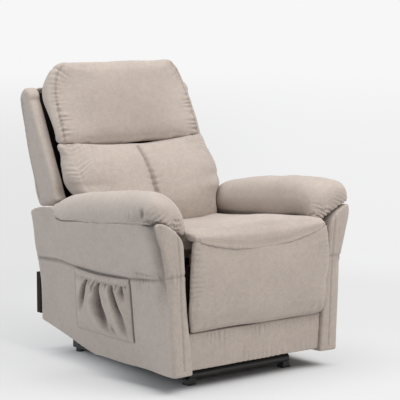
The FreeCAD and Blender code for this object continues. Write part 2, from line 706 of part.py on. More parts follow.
def pocket_plan(z, drop, room, deep):
    """The pocket's cloth from above: a wavy outer face made of arcs, and its flat back."""
    x = -(arm_out(z) + room)
    front = POCKET_FRONT + drop
    rear = POCKET_REAR - drop * 0.4
    width = (rear - front) / POCKET_FOLDS
    steps = []
    for i in range(POCKET_FOLDS):
        a = front + i * width
        steps.append(((x - POCKET_CLOTH - deep, a + width / 2), (x - POCKET_CLOTH, a + width)))
    return outline((x - POCKET_CLOTH, front), steps + [(x, rear), (x, front)], on_level(z))


def build_pocket():
    top_room = POCKET_ROOM
    belly = between(POCKET_BOTTOM, POCKET_TOP, POCKET_BELLY)
    face = loft([pocket_plan(POCKET_BOTTOM, 0.0, POCKET_TOE, POCKET_FOLD_DEEP * 0.5),
                 pocket_plan(belly, 4.0, top_room, POCKET_FOLD_DEEP),
                 pocket_plan(POCKET_TOP, 14.0, top_room - 2, POCKET_FOLD_DEEP * 0.35)], ruled=True)
    sides = []
    for y in (POCKET_FRONT + 14, POCKET_REAR - 14 - POCKET_CLOTH):
        wires = []
        for z, room in ((POCKET_BOTTOM, POCKET_TOE), (belly, top_room), (POCKET_TOP, top_room - 2)):
            x = -arm_out(z)
            wires.append(outline((x - room - 1, y), [(x + 6, y), (x + 6, y + POCKET_CLOTH),
                                 (x - room - 1, y + POCKET_CLOTH)], on_level(z)))
        sides.append(loft(wires, ruled=True))
    x = -arm_out(POCKET_BOTTOM)
    floor = box(x - POCKET_TOE - 1, x + 6, POCKET_FRONT + 2, POCKET_REAR - 2,
                POCKET_BOTTOM, POCKET_BOTTOM + POCKET_CLOTH)
    pocket = face.fuse(sides + [floor]).removeSplitter()
    parts["side_pocket"] = pocket.cut(mirrored(arm_body(0)))


def handset_place(shape):
    """Leans a handset built upright at the origin against the arm's outer side."""
    lean = math.degrees(math.atan2(ARM_SEAM_OUT - ARM_LOW_OUT, ARM_SEAM - ARM_BOTTOM))
    x = -(arm_out(HANDSET_Z) + HANDSET_THICK / 2 + SOFT_GAP)
    placed = shape.copy()
    placed.rotate(V(0, 0, 0), V(0, 1, 0), -lean)
    placed.translate(V(x, HANDSET_Y, HANDSET_Z))
    return placed


def build_handset():
    half = HANDSET_THICK / 2
    case = box(-half, half, -HANDSET_WIDE / 2, HANDSET_WIDE / 2, -HANDSET_LONG / 2, HANDSET_LONG / 2)
    case = case.makeFillet(5.0, [e for e in case.Edges if abs(e.Vertexes[0].Z - e.Vertexes[1].Z) > 1])
    travel = 1.5
    buttons = {"handset_up_button": 42.0, "handset_down_button": 14.0}
    for name, z in buttons.items():
        well = Part.makeCylinder(BUTTON_R + 0.3, 6, V(-half - 1, 0, z), V(1, 0, 0))
        case = case.cut(well)
        cap = Part.makeCylinder(BUTTON_R, 2.9, V(-half - 0.8, 0, z), V(1, 0, 0))
        parts[name] = handset_place(cap)
    socket = Part.makeCylinder(3.0, 8, V(0, 0, -HANDSET_LONG / 2 - 1), V(0, 0, 1))
    parts["handset_case"] = handset_place(case.cut(socket))


# Footrest linkage

def fold_points():
    """The pivots of the folded linkage as (y, z) points."""
    angle = math.radians(FOLD_ANGLE)
    ay, az = FOLD_PIVOT
    reach = FOLD_LINK * math.cos(angle)
    fall = FOLD_LINK * math.sin(angle)
    knee = (ay - reach, az - fall)
    down = (-math.cos(angle), -math.sin(angle))
    aside = (-down[1], down[0])
    ear = (knee[0] + BRACE_EAR[0] * down[0] + BRACE_EAR[1] * aside[0],
           knee[1] + BRACE_EAR[0] * down[1] + BRACE_EAR[1] * aside[1])
    tip = (ay - 2 * reach, az)
    return {"main": FOLD_PIVOT, "knee": knee, "ear": ear, "tip": tip,
            "cross": (ay - reach / 2, az - fall / 2), "guide": (ay, az - fall),
            "shoulder": (ay - reach, az), "middle": (ay - 1.5 * reach, az - fall / 2),
            "brace": (tip[0] + BRACE_HOLE, tip[1])}


def link_plane(number):
    """Inner and outer X of a link plane, counted inwards from the side plate."""
    outer = PLATE_IN - LINK_GAP - (number - 1) * (LINK_THICK + LINK_GAP)
    return outer - LINK_THICK, outer


def build_footrest_links():
    p = fold_points()
    one, two, three, four = (link_plane(n) for n in (1, 2, 3, 4))
    hole = RIVET + RUNNING_GAP
    open_hole = RIVET + OPEN_PIVOT_GAP

    def drilled(shape, names, radius=hole):
        for name in names:
            shape = shape.cut(rod_x(p[name], radius, 0, PLATE_IN + 40))
        return shape

    main = bar(p["main"], p["knee"], LINK_HALF, *two).fuse(bar(p["knee"], p["ear"], LINK_HALF, *two))
    main = drilled(main.removeSplitter(), ["cross", "knee", "ear"])
    main = main.fuse(rod_x(p["main"], RIVET, two[1] - 1, PLATE_IN + PLATE_THICK + 2))
    cross = drilled(bar(p["guide"], p["shoulder"], LINK_HALF, *one), ["shoulder"])
    cross = cross.fuse([rod_x(p["cross"], RIVET, two[0] - 1.5, one[0] + 1),
                        rod_x(p["guide"], RIVET, one[1] - 1, PLATE_IN + PLATE_THICK + 2)])
    front = drilled(bar(p["knee"], p["tip"], LINK_HALF, *one), ["tip"])
    front = drilled(front, ["middle"], RIVET + OPEN_SLACK)
    front = front.fuse(rod_x(p["knee"], RIVET, two[0] - 1.5, one[0] + 1))
    short = bar(p["shoulder"], p["middle"], LINK_HALF, *two)
    short = short.fuse([rod_x(p["shoulder"], RIVET, two[1] - 1, one[1] + 1.5),
                        rod_x(p["middle"], RIVET, two[1] - 1, one[1] + 1.5)])
    brace = drilled(bar(p["ear"], p["brace"], LINK_HALF, *three), ["brace"], open_hole)
    brace = brace.fuse(rod_x(p["ear"], RIVET, three[1] - 1, two[1] + 1.5))
    pair("fold_main_link", main)
    pair("fold_cross_link", cross)
    pair("fold_front_link", front)
    parts["fold_short_links"] = both(short)
    parts["fold_brace_links"] = both(brace)
    board_back = FOOT_PAD_BACK + BOARD_THICK
    bracket = side_plate([(board_back, p["tip"][1] - 60), (board_back + 12, p["tip"][1] - 60),
                          (p["brace"][0] + 9, p["brace"][1] - 9), (p["brace"][0] + 9, p["brace"][1] + 9),
                          (p["tip"][0] - 10, p["tip"][1] + 11), (board_back, p["tip"][1] + 30)], *four)
    bracket = bracket.fuse([rod_x(p["tip"], RIVET, four[1] - 1, one[1] + 1.5),
                            rod_x(p["brace"], RIVET, four[1] - 1, three[1] + 1.5)])
    flange = box(four[0] - 24, four[0] + 1, board_back, board_back + 4, p["tip"][1] - 60, p["tip"][1] + 30)
    pair("footrest_bracket", bracket.fuse(flange).removeSplitter())


# Lifting base

def rail_tube(x, y0, y1):
    outer = box(x - RAIL_WIDE / 2, x + RAIL_WIDE / 2, y0, y1, RAIL_BOTTOM, RAIL_BOTTOM + RAIL_TALL)
    room = box(x - RAIL_WIDE / 2 + RAIL_WALL, x + RAIL_WIDE / 2 - RAIL_WALL, y0 - 1, y1 + 1,
               RAIL_BOTTOM + RAIL_WALL, RAIL_BOTTOM + RAIL_TALL - RAIL_WALL)
    return outer.cut(room)


def build_base():
    rail_top = RAIL_BOTTOM + RAIL_TALL
    rail = rail_tube(RAIL_X, RAIL_FRONT, RAIL_REAR)
    side = RAIL_X + RAIL_WIDE / 2
    bracket = side_plate([(LINK_PIVOT[0] - 26, RAIL_BOTTOM + 12), (LINK_PIVOT[0] - 18, LINK_PIVOT[1] + 14),
                          (LIFT_PIVOT[0] + 20, LIFT_PIVOT[1] + 18), (LIFT_PIVOT[0] + 46, RAIL_BOTTOM + 12)],
                         side, BRACKET_IN + 6)
    bracket = bracket.fuse([rod_x(LIFT_PIVOT, PIN, side, LIFT_ARM_IN + LIFT_BAR + 2),
                            rod_x(LINK_PIVOT, PIN, side, LIFT_LINK_IN + LIFT_BAR + 2)]).removeSplitter()
    pair("base_rail", rail)
    pair("base_bracket", bracket)
    tube_z = RAIL_BOTTOM + RAIL_TALL / 2
    tube_y = RAIL_FRONT - FRONT_TUBE_R
    reach = RAIL_X + 12
    tube = rod_x((tube_y, tube_z), FRONT_TUBE_R, -reach, reach)
    bore = rod_x((tube_y, tube_z), FRONT_TUBE_R - RAIL_WALL, -reach - 1, reach + 1)
    parts["base_front_tube"] = tube.cut(bore)
    half = RAIL_X - RAIL_WIDE / 2
    y0, y1 = RAIL_REAR - 40, RAIL_REAR - 10
    rear = box(-half, half, y0, y1, RAIL_BOTTOM, rail_top)
    room = box(-half - 1, half + 1, y0 + RAIL_WALL, y1 - RAIL_WALL,
               RAIL_BOTTOM + RAIL_WALL, rail_top - RAIL_WALL)
    parts["base_rear_tube"] = rear.cut(room)
    foot = front_foot(tube_y, tube_z)
    parts["front_feet"] = both(foot)
    glide = Part.makeCylinder(15, RAIL_BOTTOM, V(RAIL_X, RAIL_REAR - 25, 0))
    parts["rear_glides"] = both(glide)


def front_foot(tube_y, tube_z):
    """A short splayed foot: a bracket that drops from the tube's end to a flat sole."""
    low = tube_z - FRONT_TUBE_R
    wires = []
    for z, x, y, half_x, half_y in ((0.0, RAIL_X + 1, tube_y + 2, 17.0, 16.0),
                                    (7.0, RAIL_X + 1, tube_y + 2, 17.0, 16.0),
                                    (low + 8, RAIL_X, tube_y, 12.0, 12.0)):
        wires.append(outline((x - half_x, y - half_y), [(x + half_x, y - half_y), (x + half_x, y + half_y),
                             (x - half_x, y + half_y)], on_level(z)))
    foot = loft(wires, ruled=True)
    return foot.cut(rod_x((tube_y, tube_z), FRONT_TUBE_R, 0, RAIL_X + 60))


def build_lift():
    arm_in, arm_out_x = LIFT_ARM_IN, LIFT_ARM_IN + LIFT_BAR
    arm = bar(LIFT_PIVOT, LIFT_END, LIFT_BAR_HALF, arm_in, arm_out_x)
    tube_y, tube_z = TORQUE_TUBE
    web = side_plate([(LIFT_PIVOT[0] + 15, LIFT_PIVOT[1]), (tube_y - 24, tube_z + 12),
                      (tube_y - 12, tube_z + 18),
                      (tube_y + 12, tube_z + 18), (tube_y + 24, tube_z + 12), (tube_y + 130, LIFT_PIVOT[1])],
                     arm_in, arm_out_x)
    arm = arm.fuse(web).removeSplitter().cut(rod_x(LIFT_PIVOT, PIN + RUNNING_GAP, 0, 300))
    arm = arm.fuse(rod_x(LIFT_END, PIN, arm_out_x - 1, PLATE_IN + PLATE_THICK + 2))
    pair("lift_arm", arm)
    link_in, link_out = LIFT_LINK_IN, LIFT_LINK_IN + LIFT_BAR
    link = bar(LINK_PIVOT, LINK_END, LIFT_BAR_HALF - 3, link_in, link_out)
    link = link.cut(rod_x(LINK_PIVOT, PIN + RUNNING_GAP, 0, 300))
    pair("lift_link", link.fuse(rod_x(LINK_END, PIN, link_out - 1, PLATE_IN + PLATE_THICK + 2)))
    tube = rod_x(TORQUE_TUBE, TORQUE_R, -LIFT_ARM_IN, LIFT_ARM_IN)
    tube = tube.cut(rod_x(TORQUE_TUBE, TORQUE_R - TORQUE_WALL, -LIFT_ARM_IN - 1, LIFT_ARM_IN + 1))
    lug_y, lug_z = LUG_HOLE
    lug = bar(LUG_HOLE, TORQUE_TUBE, LUG_HALF, LUG_IN, LUG_IN + LUG_THICK)
    lug = lug.cut(rod_x(TORQUE_TUBE, TORQUE_R - TORQUE_WALL, 0, 100))
    slot = bar((lug_y + 0.5, lug_z + 0.6), (lug_y - 4.4, lug_z - 8.4), PIN / 2 + 1.4, -40, 40)
    lug = lug.cut(slot)
    parts["lift_torque_tube"] = tube.fuse([lug, mirrored(lug)]).removeSplitter()


def point_from(start, end, distance):
    length = math.hypot(end[0] - start[0], end[1] - start[1])
    return along(start, end, distance / length)


def build_actuator(name, pivot, lug_hole, rod_start, bare):
    """A linear actuator: motor case and outer tube, and a rod that slides in it, bare at its end."""
    length = math.hypot(lug_hole[0] - pivot[0], lug_hole[1] - pivot[1])
    nose = point_from(pivot, lug_hole, length - bare)
    tail = point_from(pivot, lug_hole, 16)
    case_end = point_from(pivot, lug_hole, 120)
    tube = tube_between(case_end, nose, MOTOR_TUBE_R, ROD_R + 0.5)
    case = tube_between(tail, case_end, 30, 0)
    eye = tube_between(pivot, tail, 11, 0).fuse(rod_x(pivot, 13, -11, 11))
    gearbox = tube_between(point_from(pivot, lug_hole, 40), point_from(pivot, lug_hole, 104), 24, 0)
    gearbox.translate(V(0, 0, -46))
    body = case.fuse([eye, gearbox, tube]).removeSplitter()
    body = body.cut(rod_x(pivot, PIN / 2 + RUNNING_GAP, -60, 60))
    parts[name + "_motor"] = body
    start = point_from(pivot, lug_hole, rod_start)
    rod = tube_between(start, point_from(pivot, lug_hole, length - 8), ROD_R, 0)
    pin_reach = LUG_IN + LUG_THICK + 3
    rod = rod.fuse([rod_x(lug_hole, 11, -11, 11), rod_x(lug_hole, PIN / 2, -pin_reach, pin_reach)])
    parts[name + "_rod"] = rod.removeSplitter()


def build_motor_mounts():
    """The clevis that holds the lift motor on the base, and the one under the seat."""
    y, z = MOTOR_PIVOT
    clevis = []
    for x in (12, -12 - LUG_THICK):
        ear = side_plate([(RAIL_REAR - 40, RAIL_BOTTOM + RAIL_TALL), (y - 16, z), (y - 12, z + 14),
                          (y + 12, z + 14),
                          (RAIL_REAR - 10, RAIL_BOTTOM + RAIL_TALL)], x, x + LUG_THICK)
        clevis.append(ear)
    pin = rod_x(MOTOR_PIVOT, PIN / 2, -13, 13)
    parts["base_rear_tube"] = parts["base_rear_tube"].fuse(clevis + [pin]).removeSplitter()
    y, z = RECLINE_PIVOT
    front_y = FOLD_PIVOT[0] + 46
    beam = side_plate([(front_y, SEAT_BASE - 34), (front_y, SEAT_BASE - 12), (y + 16, z + 10),
                       (y + 12, z - 14), (y - 12, z - 14)],
                      12, 12 + LUG_THICK)
    pin = rod_x(RECLINE_PIVOT, PIN / 2, -13, 13)
    rail = parts["seat_front_rail"].fuse([beam, mirrored(beam), pin])
    parts["seat_front_rail"] = rail.removeSplitter()


def build_hinge_pins():
    """The two pins that the backrest turns on."""
    pin = rod_x(BACK_PIVOT, PIN, PLATE_IN - LINK_GAP - STILE_THICK - 2, PLATE_IN + PLATE_THICK + 3)
    parts["back_hinge_pins"] = both(pin)


build_arms()
build_seat()
build_footrest_soft()
build_back_shell()
build_head_cushion()
build_lumbar_cushion()
build_back_frame()
build_side_plates()
build_seat_frame()
build_rear_cover()
build_controls()
build_pocket()
build_handset()
build_footrest_links()
build_base()
build_lift()
build_actuator("lift", MOTOR_PIVOT, LUG_HOLE, 150, 78)
build_actuator("recline", RECLINE_PIVOT, RECLINE_LUG, 204, 108)
build_motor_mounts()
build_hinge_pins()

os.makedirs("parts", exist_ok=True)
for name, shape in parts.items():
    shape.exportStep("parts/" + name + ".step")
    b = shape.BoundBox
    print(name, len(shape.Solids), shape.isValid(), round(shape.Volume / 1000),
          [round(v) for v in (b.XMin, b.XMax, b.YMin, b.YMax, b.ZMin, b.ZMax)])
print(len(parts), "nodes")
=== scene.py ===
# %% [markdown]
# A lift recliner chair, dressed over its packed construction model.
# The frame holds every hard part at its real size. This notebook adds what a camera sees first:
# stuffed cushions, stretched covers, seams, gathers, a slack pocket and the finish of each material.
# All of it could be sculpted by hand in Blender. It is written as steps instead, so that each piece
# keeps to the frame's sizes, and every run gives the same chair.

# %% Load the frame
import bpy
import bmesh
import json
import math
import numpy as np
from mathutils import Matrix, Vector
from mathutils.bvhtree import BVHTree


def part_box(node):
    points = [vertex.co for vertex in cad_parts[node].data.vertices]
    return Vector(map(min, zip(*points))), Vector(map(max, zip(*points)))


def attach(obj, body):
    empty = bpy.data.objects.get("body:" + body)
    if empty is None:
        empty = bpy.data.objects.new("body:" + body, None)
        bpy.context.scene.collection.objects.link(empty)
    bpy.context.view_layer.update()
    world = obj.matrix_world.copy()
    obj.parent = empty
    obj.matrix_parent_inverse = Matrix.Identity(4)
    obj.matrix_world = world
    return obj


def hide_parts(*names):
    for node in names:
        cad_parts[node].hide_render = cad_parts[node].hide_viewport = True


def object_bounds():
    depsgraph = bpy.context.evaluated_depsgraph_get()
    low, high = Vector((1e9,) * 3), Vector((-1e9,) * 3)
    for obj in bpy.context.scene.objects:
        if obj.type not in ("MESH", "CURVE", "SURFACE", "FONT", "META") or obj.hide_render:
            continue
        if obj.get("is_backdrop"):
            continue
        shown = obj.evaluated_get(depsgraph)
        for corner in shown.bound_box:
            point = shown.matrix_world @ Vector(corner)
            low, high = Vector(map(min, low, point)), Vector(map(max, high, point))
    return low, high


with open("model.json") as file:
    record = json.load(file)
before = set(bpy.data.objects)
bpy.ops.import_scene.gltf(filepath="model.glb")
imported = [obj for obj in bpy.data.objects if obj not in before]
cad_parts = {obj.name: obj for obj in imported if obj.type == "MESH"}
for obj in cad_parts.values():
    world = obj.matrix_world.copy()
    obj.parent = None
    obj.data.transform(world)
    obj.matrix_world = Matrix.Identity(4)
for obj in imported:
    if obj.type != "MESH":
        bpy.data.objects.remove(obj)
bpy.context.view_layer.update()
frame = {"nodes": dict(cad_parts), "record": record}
nodes = frame["nodes"]
scene = bpy.context.scene
SIDES = ((1, "left"), (-1, "right"))
print("nodes loaded:", len(nodes))

# %% [markdown]
# The camera: a long lens, well back from the chair and a little above the seat, turned to the chair's
# front right corner. It could be placed by eye. Here its angle, distance and lens are numbers found by
# matching edges of the frame to the picture. A long lens keeps upright edges nearly parallel, so its
# distance matters as much as its direction.

# %% Camera
FOCAL_PIXELS = 1632.753
IMAGE_PIXELS = 400
AZIMUTH, ELEVATION = math.radians(-38.193), math.radians(7.46)
DISTANCE = 5.867857
ASIDE, ABOVE = 0.069747, 0.08168
LOOK_AT = Vector((0.0, -0.017, 0.5))

back = Vector((math.sin(AZIMUTH) * math.cos(ELEVATION), -math.cos(AZIMUTH) * math.cos(ELEVATION),
               math.sin(ELEVATION)))
right = (-back).cross(Vector((0, 0, 1))).normalized()
up = right.cross(-back)
camera_data = bpy.data.cameras.new("camera")
camera_data.sensor_width = 36.0
camera_data.lens = FOCAL_PIXELS / IMAGE_PIXELS * camera_data.sensor_width
camera = bpy.data.objects.new("camera", camera_data)
scene.collection.objects.link(camera)
camera.location = LOOK_AT + back * DISTANCE + right * ASIDE + up * ABOVE
camera.rotation_mode = "QUATERNION"
camera.rotation_quaternion = (-back).to_track_quat("-Z", "Y")
scene.camera = camera
print("lens", round(camera_data.lens, 1), "mm at", tuple(round(v, 2) for v in camera.location))

# %% [markdown]
# Studio light: one large soft lamp high on the right of the picture, another straight overhead, a
# cool fill low on the left, and a pale world that lifts the shadows. Large lamps show the swell of a
# cushion by slow shading, where a small lamp or a sun would only draw hard edges. The world has one
# strength for lighting and another colour for the camera, so a bright backdrop adds no light.

# %% Lamps


def soft_lamp(name, place, aim, size, power, colour=(1.0, 1.0, 1.0)):
    """A round area lamp at a place, turned towards its aim. The size is in metres, the power in watts."""
    data = bpy.data.lights.new(name, "AREA")
    data.shape = "DISK"
    data.size = size
    data.energy = power
    data.color = colour
    lamp = bpy.data.objects.new(name, data)
    scene.collection.objects.link(lamp)
    lamp.location = place
    lamp.rotation_mode = "QUATERNION"
    lamp.rotation_quaternion = (Vector(aim) - Vector(place)).to_track_quat("-Z", "Y")
    return lamp


soft_lamp("key_lamp", (1.2, -2.8, 3.6), (0.0, 0.0, 0.4), 2.6, 111, (1.0, 0.985, 0.97))
soft_lamp("top_lamp", (-0.3, 0.1, 4.2), (0.0, 0.0, 0.5), 3.0, 93)
soft_lamp("left_fill", (-3.7, 0.7, 1.5), (0.0, 0.0, 0.4), 2.6, 41, (0.80, 0.90, 1.0))

# %% World and backdrop colours
WORLD_LIGHT = 0.42
FLOOR_COLOUR = (0.72, 0.72, 0.725, 1)
NEAR_FLOOR = (0.80, 0.80, 0.805, 1)
BACKDROP_LOW = (0.785, 0.785, 0.79, 1)
BACKDROP_RIGHT = (0.87, 0.87, 0.875, 1)
BACKDROP_HIGH = (0.93, 0.93, 0.93, 1)

world = bpy.data.worlds.new("studio")
scene.world = world
world.use_nodes = True
tree = world.node_tree
tree.nodes.clear()
world_out = tree.nodes.new("ShaderNodeOutputWorld")
lit = tree.nodes.new("ShaderNodeBackground")
lit.inputs["Color"].default_value = (1.0, 1.0, 1.0, 1.0)
lit.inputs["Strength"].default_value = WORLD_LIGHT
seen = tree.nodes.new("ShaderNodeBackground")
seen.inputs["Color"].default_value = BACKDROP_HIGH
seen.inputs["Strength"].default_value = 1.0
path = tree.nodes.new("ShaderNodeLightPath")
mix = tree.nodes.new("ShaderNodeMixShader")
tree.links.new(path.outputs["Is Camera Ray"], mix.inputs["Fac"])
tree.links.new(lit.outputs[0], mix.inputs[1])
tree.links.new(seen.outputs[0], mix.inputs[2])
tree.links.new(mix.outputs[0], world_out.inputs["Surface"])
scene.view_settings.view_transform = "Standard"
print("world light:", WORLD_LIGHT)

# %% [markdown]
# Shader groups. The cover is a soft short-pile cloth: close up it is a mesh of soft threads, from a
# step away it is a slightly cloudy colour with paler slubs. An image of cloth would need unwrapping.
# Here the threads come from sine waves in the object's own space, so they need none. The group looks
# straight at each face along the axis that it faces most, and draws the threads up and across there.

# %% A group with named sockets


def new_group(name, inputs, outputs):
    """An empty shader group with named sockets. An input is (name, kind, default)."""
    group = bpy.data.node_groups.new(name, "ShaderNodeTree")
    for label, kind, default in inputs:
        socket = group.interface.new_socket(label, in_out="INPUT", socket_type=kind)
        if default is not None:
            socket.default_value = default
    for label, kind in outputs:
        group.interface.new_socket(label, in_out="OUTPUT", socket_type=kind)
    return group, group.nodes.new("NodeGroupInput"), group.nodes.new("NodeGroupOutput")


print("groups so far:", len(bpy.data.node_groups))

# %% Node helpers


def math_node(tree, operation, first, second=None, third=None):
    """One sum on numbers or sockets. Gives back its output."""
    node = tree.nodes.new("ShaderNodeMath")
    node.operation = operation
    for socket, value in zip(node.inputs, (first, second, third)):
        if value is None:
            continue
        if isinstance(value, (int, float)):
            socket.default_value = value
        else:
            tree.links.new(value, socket)
    return node.outputs[0]


def mix_colour(tree, share, first, second, blend="MIX"):
    """A mix of two colours by a share from 0 to 1."""
    node = tree.nodes.new("ShaderNodeMix")
    node.data_type = "RGBA"
    node.blend_type = blend
    for socket, value in ((node.inputs[0], share), (node.inputs[6], first), (node.inputs[7], second)):
        if isinstance(value, (int, float)):
            socket.default_value = value
        elif isinstance(value, tuple):
            socket.default_value = value
        else:
            tree.links.new(value, socket)
    return node.outputs[2]


def noise_node(tree, vector, scale, detail=2.0, rough=0.5):
    """Noise from 0 to 1 over a vector. The scale is how many cells fit in a metre."""
    node = tree.nodes.new("ShaderNodeTexNoise")
    node.inputs["Detail"].default_value = detail
    node.inputs["Roughness"].default_value = rough
    tree.links.new(vector, node.inputs["Vector"])
    if isinstance(scale, (int, float)):
        node.inputs["Scale"].default_value = scale
    else:
        tree.links.new(scale, node.inputs["Scale"])
    return node.outputs["Fac"]


def scaled(tree, vector, by):
    """A vector with each axis multiplied by its own number."""
    node = tree.nodes.new("ShaderNodeVectorMath")
    node.operation = "MULTIPLY"
    tree.links.new(vector, node.inputs[0])
    node.inputs[1].default_value = by
    return node.outputs[0]


print("node helpers: maths, colour mix, noise, scaling")

# %% Thread group


def build_threads():
    """Threads that cross at right angles on every face, as a height from 0 to 1."""
    group, source, sink = new_group("Crossing Threads", [("Pitch", "NodeSocketFloat", 0.0022)],
                                    [("Height", "NodeSocketFloat"), ("Slub", "NodeSocketFloat")])
    coords = group.nodes.new("ShaderNodeTexCoord")
    spread = group.nodes.new("ShaderNodeVectorMath")
    spread.operation = "ADD"
    warp = group.nodes.new("ShaderNodeTexNoise")
    warp.inputs["Scale"].default_value = 90.0
    warp.inputs["Detail"].default_value = 1.0
    group.links.new(coords.outputs["Object"], warp.inputs["Vector"])
    wobble = scaled(group, warp.outputs["Color"], (0.0016, 0.0016, 0.0016))
    group.links.new(coords.outputs["Object"], spread.inputs[0])
    group.links.new(wobble, spread.inputs[1])
    place = group.nodes.new("ShaderNodeSeparateXYZ")
    group.links.new(spread.outputs[0], place.inputs[0])
    facing = group.nodes.new("ShaderNodeSeparateXYZ")
    group.links.new(coords.outputs["Normal"], facing.inputs[0])
    turn = math_node(group, "DIVIDE", 2 * math.pi, source.outputs["Pitch"])

    def rib(axis, phase):
        """Ribs from 0 to 1 across one axis."""
        angle = math_node(group, "MULTIPLY_ADD", place.outputs[axis], turn, phase)
        return math_node(group, "MULTIPLY_ADD", math_node(group, "SINE", angle), 0.5, 0.5)

    ribs = [rib(0, 0.0), rib(1, 0.9), rib(2, 2.1)]
    turned_to = [math_node(group, "ABSOLUTE", facing.outputs[i]) for i in range(3)]
    weights = [math_node(group, "POWER", amount, 4.0) for amount in turned_to]
    total = math_node(group, "ADD", math_node(group, "ADD", weights[0], weights[1]), weights[2])
    height = None
    for i, (a, b) in enumerate(((1, 2), (0, 2), (0, 1))):
        cloth = math_node(group, "MAXIMUM", ribs[a], ribs[b])
        part = math_node(group, "MULTIPLY", cloth, weights[i])
        height = part if height is None else math_node(group, "ADD", height, part)
    height = math_node(group, "DIVIDE", height, total)
    long_noise = noise_node(group, scaled(group, coords.outputs["Object"], (1.0, 1.0, 0.28)), 420.0, 2.0)
    cross_noise = noise_node(group, scaled(group, coords.outputs["Object"], (0.28, 0.4, 1.0)), 420.0, 2.0)
    slub = math_node(group, "MAXIMUM", long_noise, cross_noise)
    group.links.new(height, sink.inputs["Height"])
    group.links.new(slub, sink.inputs["Slub"])
    return group


threads = build_threads()
print("group:", threads.name)

# %% Pile cloth group


def build_pile_cloth():
    """Colour, roughness and height of a soft short-pile cloth, with painted shade where a seam draws it in.
    """
    group, source, sink = new_group(
        "Pile Cloth",
        [("Lit Colour", "NodeSocketColor", (0.5, 0.4, 0.35, 1)),
         ("Deep Colour", "NodeSocketColor", (0.3, 0.25, 0.2, 1)),
         ("Cloud", "NodeSocketFloat", 0.35), ("Pitch", "NodeSocketFloat", 0.0022)],
        [("Colour", "NodeSocketColor"), ("Roughness", "NodeSocketFloat"), ("Height", "NodeSocketFloat")])
    coords = group.nodes.new("ShaderNodeTexCoord")
    weave = group.nodes.new("ShaderNodeGroup")
    weave.node_tree = threads
    group.links.new(source.outputs["Pitch"], weave.inputs["Pitch"])
    broad = noise_node(group, coords.outputs["Object"], 7.0, 3.0, 0.55)
    patch = noise_node(group, coords.outputs["Object"], 46.0, 3.0, 0.6)
    cloud = math_node(group, "MULTIPLY_ADD", patch, 0.6, math_node(group, "MULTIPLY", broad, 0.4))
    shade = math_node(group, "SUBTRACT", cloud, 0.5)
    shade = math_node(group, "MULTIPLY", shade, source.outputs["Cloud"])
    slub = math_node(group, "MULTIPLY", math_node(group, "SUBTRACT", weave.outputs["Slub"], 0.58), 0.55)
    rib = math_node(group, "MULTIPLY", math_node(group, "SUBTRACT", weave.outputs["Height"], 0.7), 0.22)
    pale = math_node(group, "ADD", math_node(group, "ADD", shade, slub), rib)
    pale = math_node(group, "ADD", pale, 0.78)
    # Painted shade: the crease value darkens the colour towards the deep colour in seams and fold valleys.
    painted_shade_attribute = group.nodes.new("ShaderNodeAttribute")
    painted_shade_attribute.attribute_name = "crease"
    painted_shade_amount = math_node(group, "MULTIPLY", painted_shade_attribute.outputs["Fac"], 0.75)
    share = math_node(group, "SUBTRACT", pale, painted_shade_amount)
    share.node.use_clamp = True
    colour = mix_colour(group, share, source.outputs["Deep Colour"], source.outputs["Lit Colour"])
    rough = math_node(group, "MULTIPLY_ADD", shade, 0.3, 0.86)
    lift = math_node(group, "MULTIPLY_ADD", weave.outputs["Slub"], 0.7, weave.outputs["Height"])
    group.links.new(colour, sink.inputs["Colour"])
    group.links.new(rough, sink.inputs["Roughness"])
    group.links.new(lift, sink.inputs["Height"])
    return group


pile_cloth = build_pile_cloth()
print("group:", pile_cloth.name)

# %% [markdown]
# Worn and handled hard parts. Powder coat is black with a faint orange-peel skin and paler edges,
# plated links are grey with a fine grain, and moulded plastic has a spark-eroded texture. Each could
# have its own nodes. One group gives dust and grain to them all instead, because the effects are the
# same and only their amounts differ, and each material sets its own.

# %% Dust and grain group


def build_surface_grain():
    """Colour, roughness and height of a hard surface with grain, dust and rubbed edges."""
    group, source, sink = new_group(
        "Surface Grain",
        [("Colour", "NodeSocketColor", (0.1, 0.1, 0.1, 1)),
         ("Dust Colour", "NodeSocketColor", (0.3, 0.3, 0.3, 1)),
         ("Dust", "NodeSocketFloat", 0.1), ("Grain Size", "NodeSocketFloat", 0.002),
         ("Roughness", "NodeSocketFloat", 0.5)],
        [("Colour", "NodeSocketColor"), ("Roughness", "NodeSocketFloat"), ("Height", "NodeSocketFloat")])
    coords = group.nodes.new("ShaderNodeTexCoord")
    geometry = group.nodes.new("ShaderNodeNewGeometry")
    scale = math_node(group, "DIVIDE", 1.0, source.outputs["Grain Size"])
    grain = noise_node(group, coords.outputs["Object"], scale, 3.0, 0.6)
    smudge = noise_node(group, coords.outputs["Object"], 14.0, 4.0, 0.65)
    bent = math_node(group, "SUBTRACT", geometry.outputs["Pointiness"], 0.52)
    edge = math_node(group, "MULTIPLY", bent, 6.0)
    edge.node.use_clamp = True
    dust = math_node(group, "MULTIPLY", smudge, source.outputs["Dust"])
    dust = math_node(group, "ADD", dust, math_node(group, "MULTIPLY", edge, 0.35))
    dust.node.use_clamp = True
    colour = mix_colour(group, dust, source.outputs["Colour"], source.outputs["Dust Colour"])
    rough = math_node(group, "ADD", source.outputs["Roughness"],
                      math_node(group, "MULTIPLY", math_node(group, "SUBTRACT", smudge, 0.5), 0.3))
    group.links.new(colour, sink.inputs["Colour"])
    group.links.new(rough, sink.inputs["Roughness"])
    group.links.new(grain, sink.inputs["Height"])
    return group


surface_grain = build_surface_grain()
print("group:", surface_grain.name)

# %% Material helper


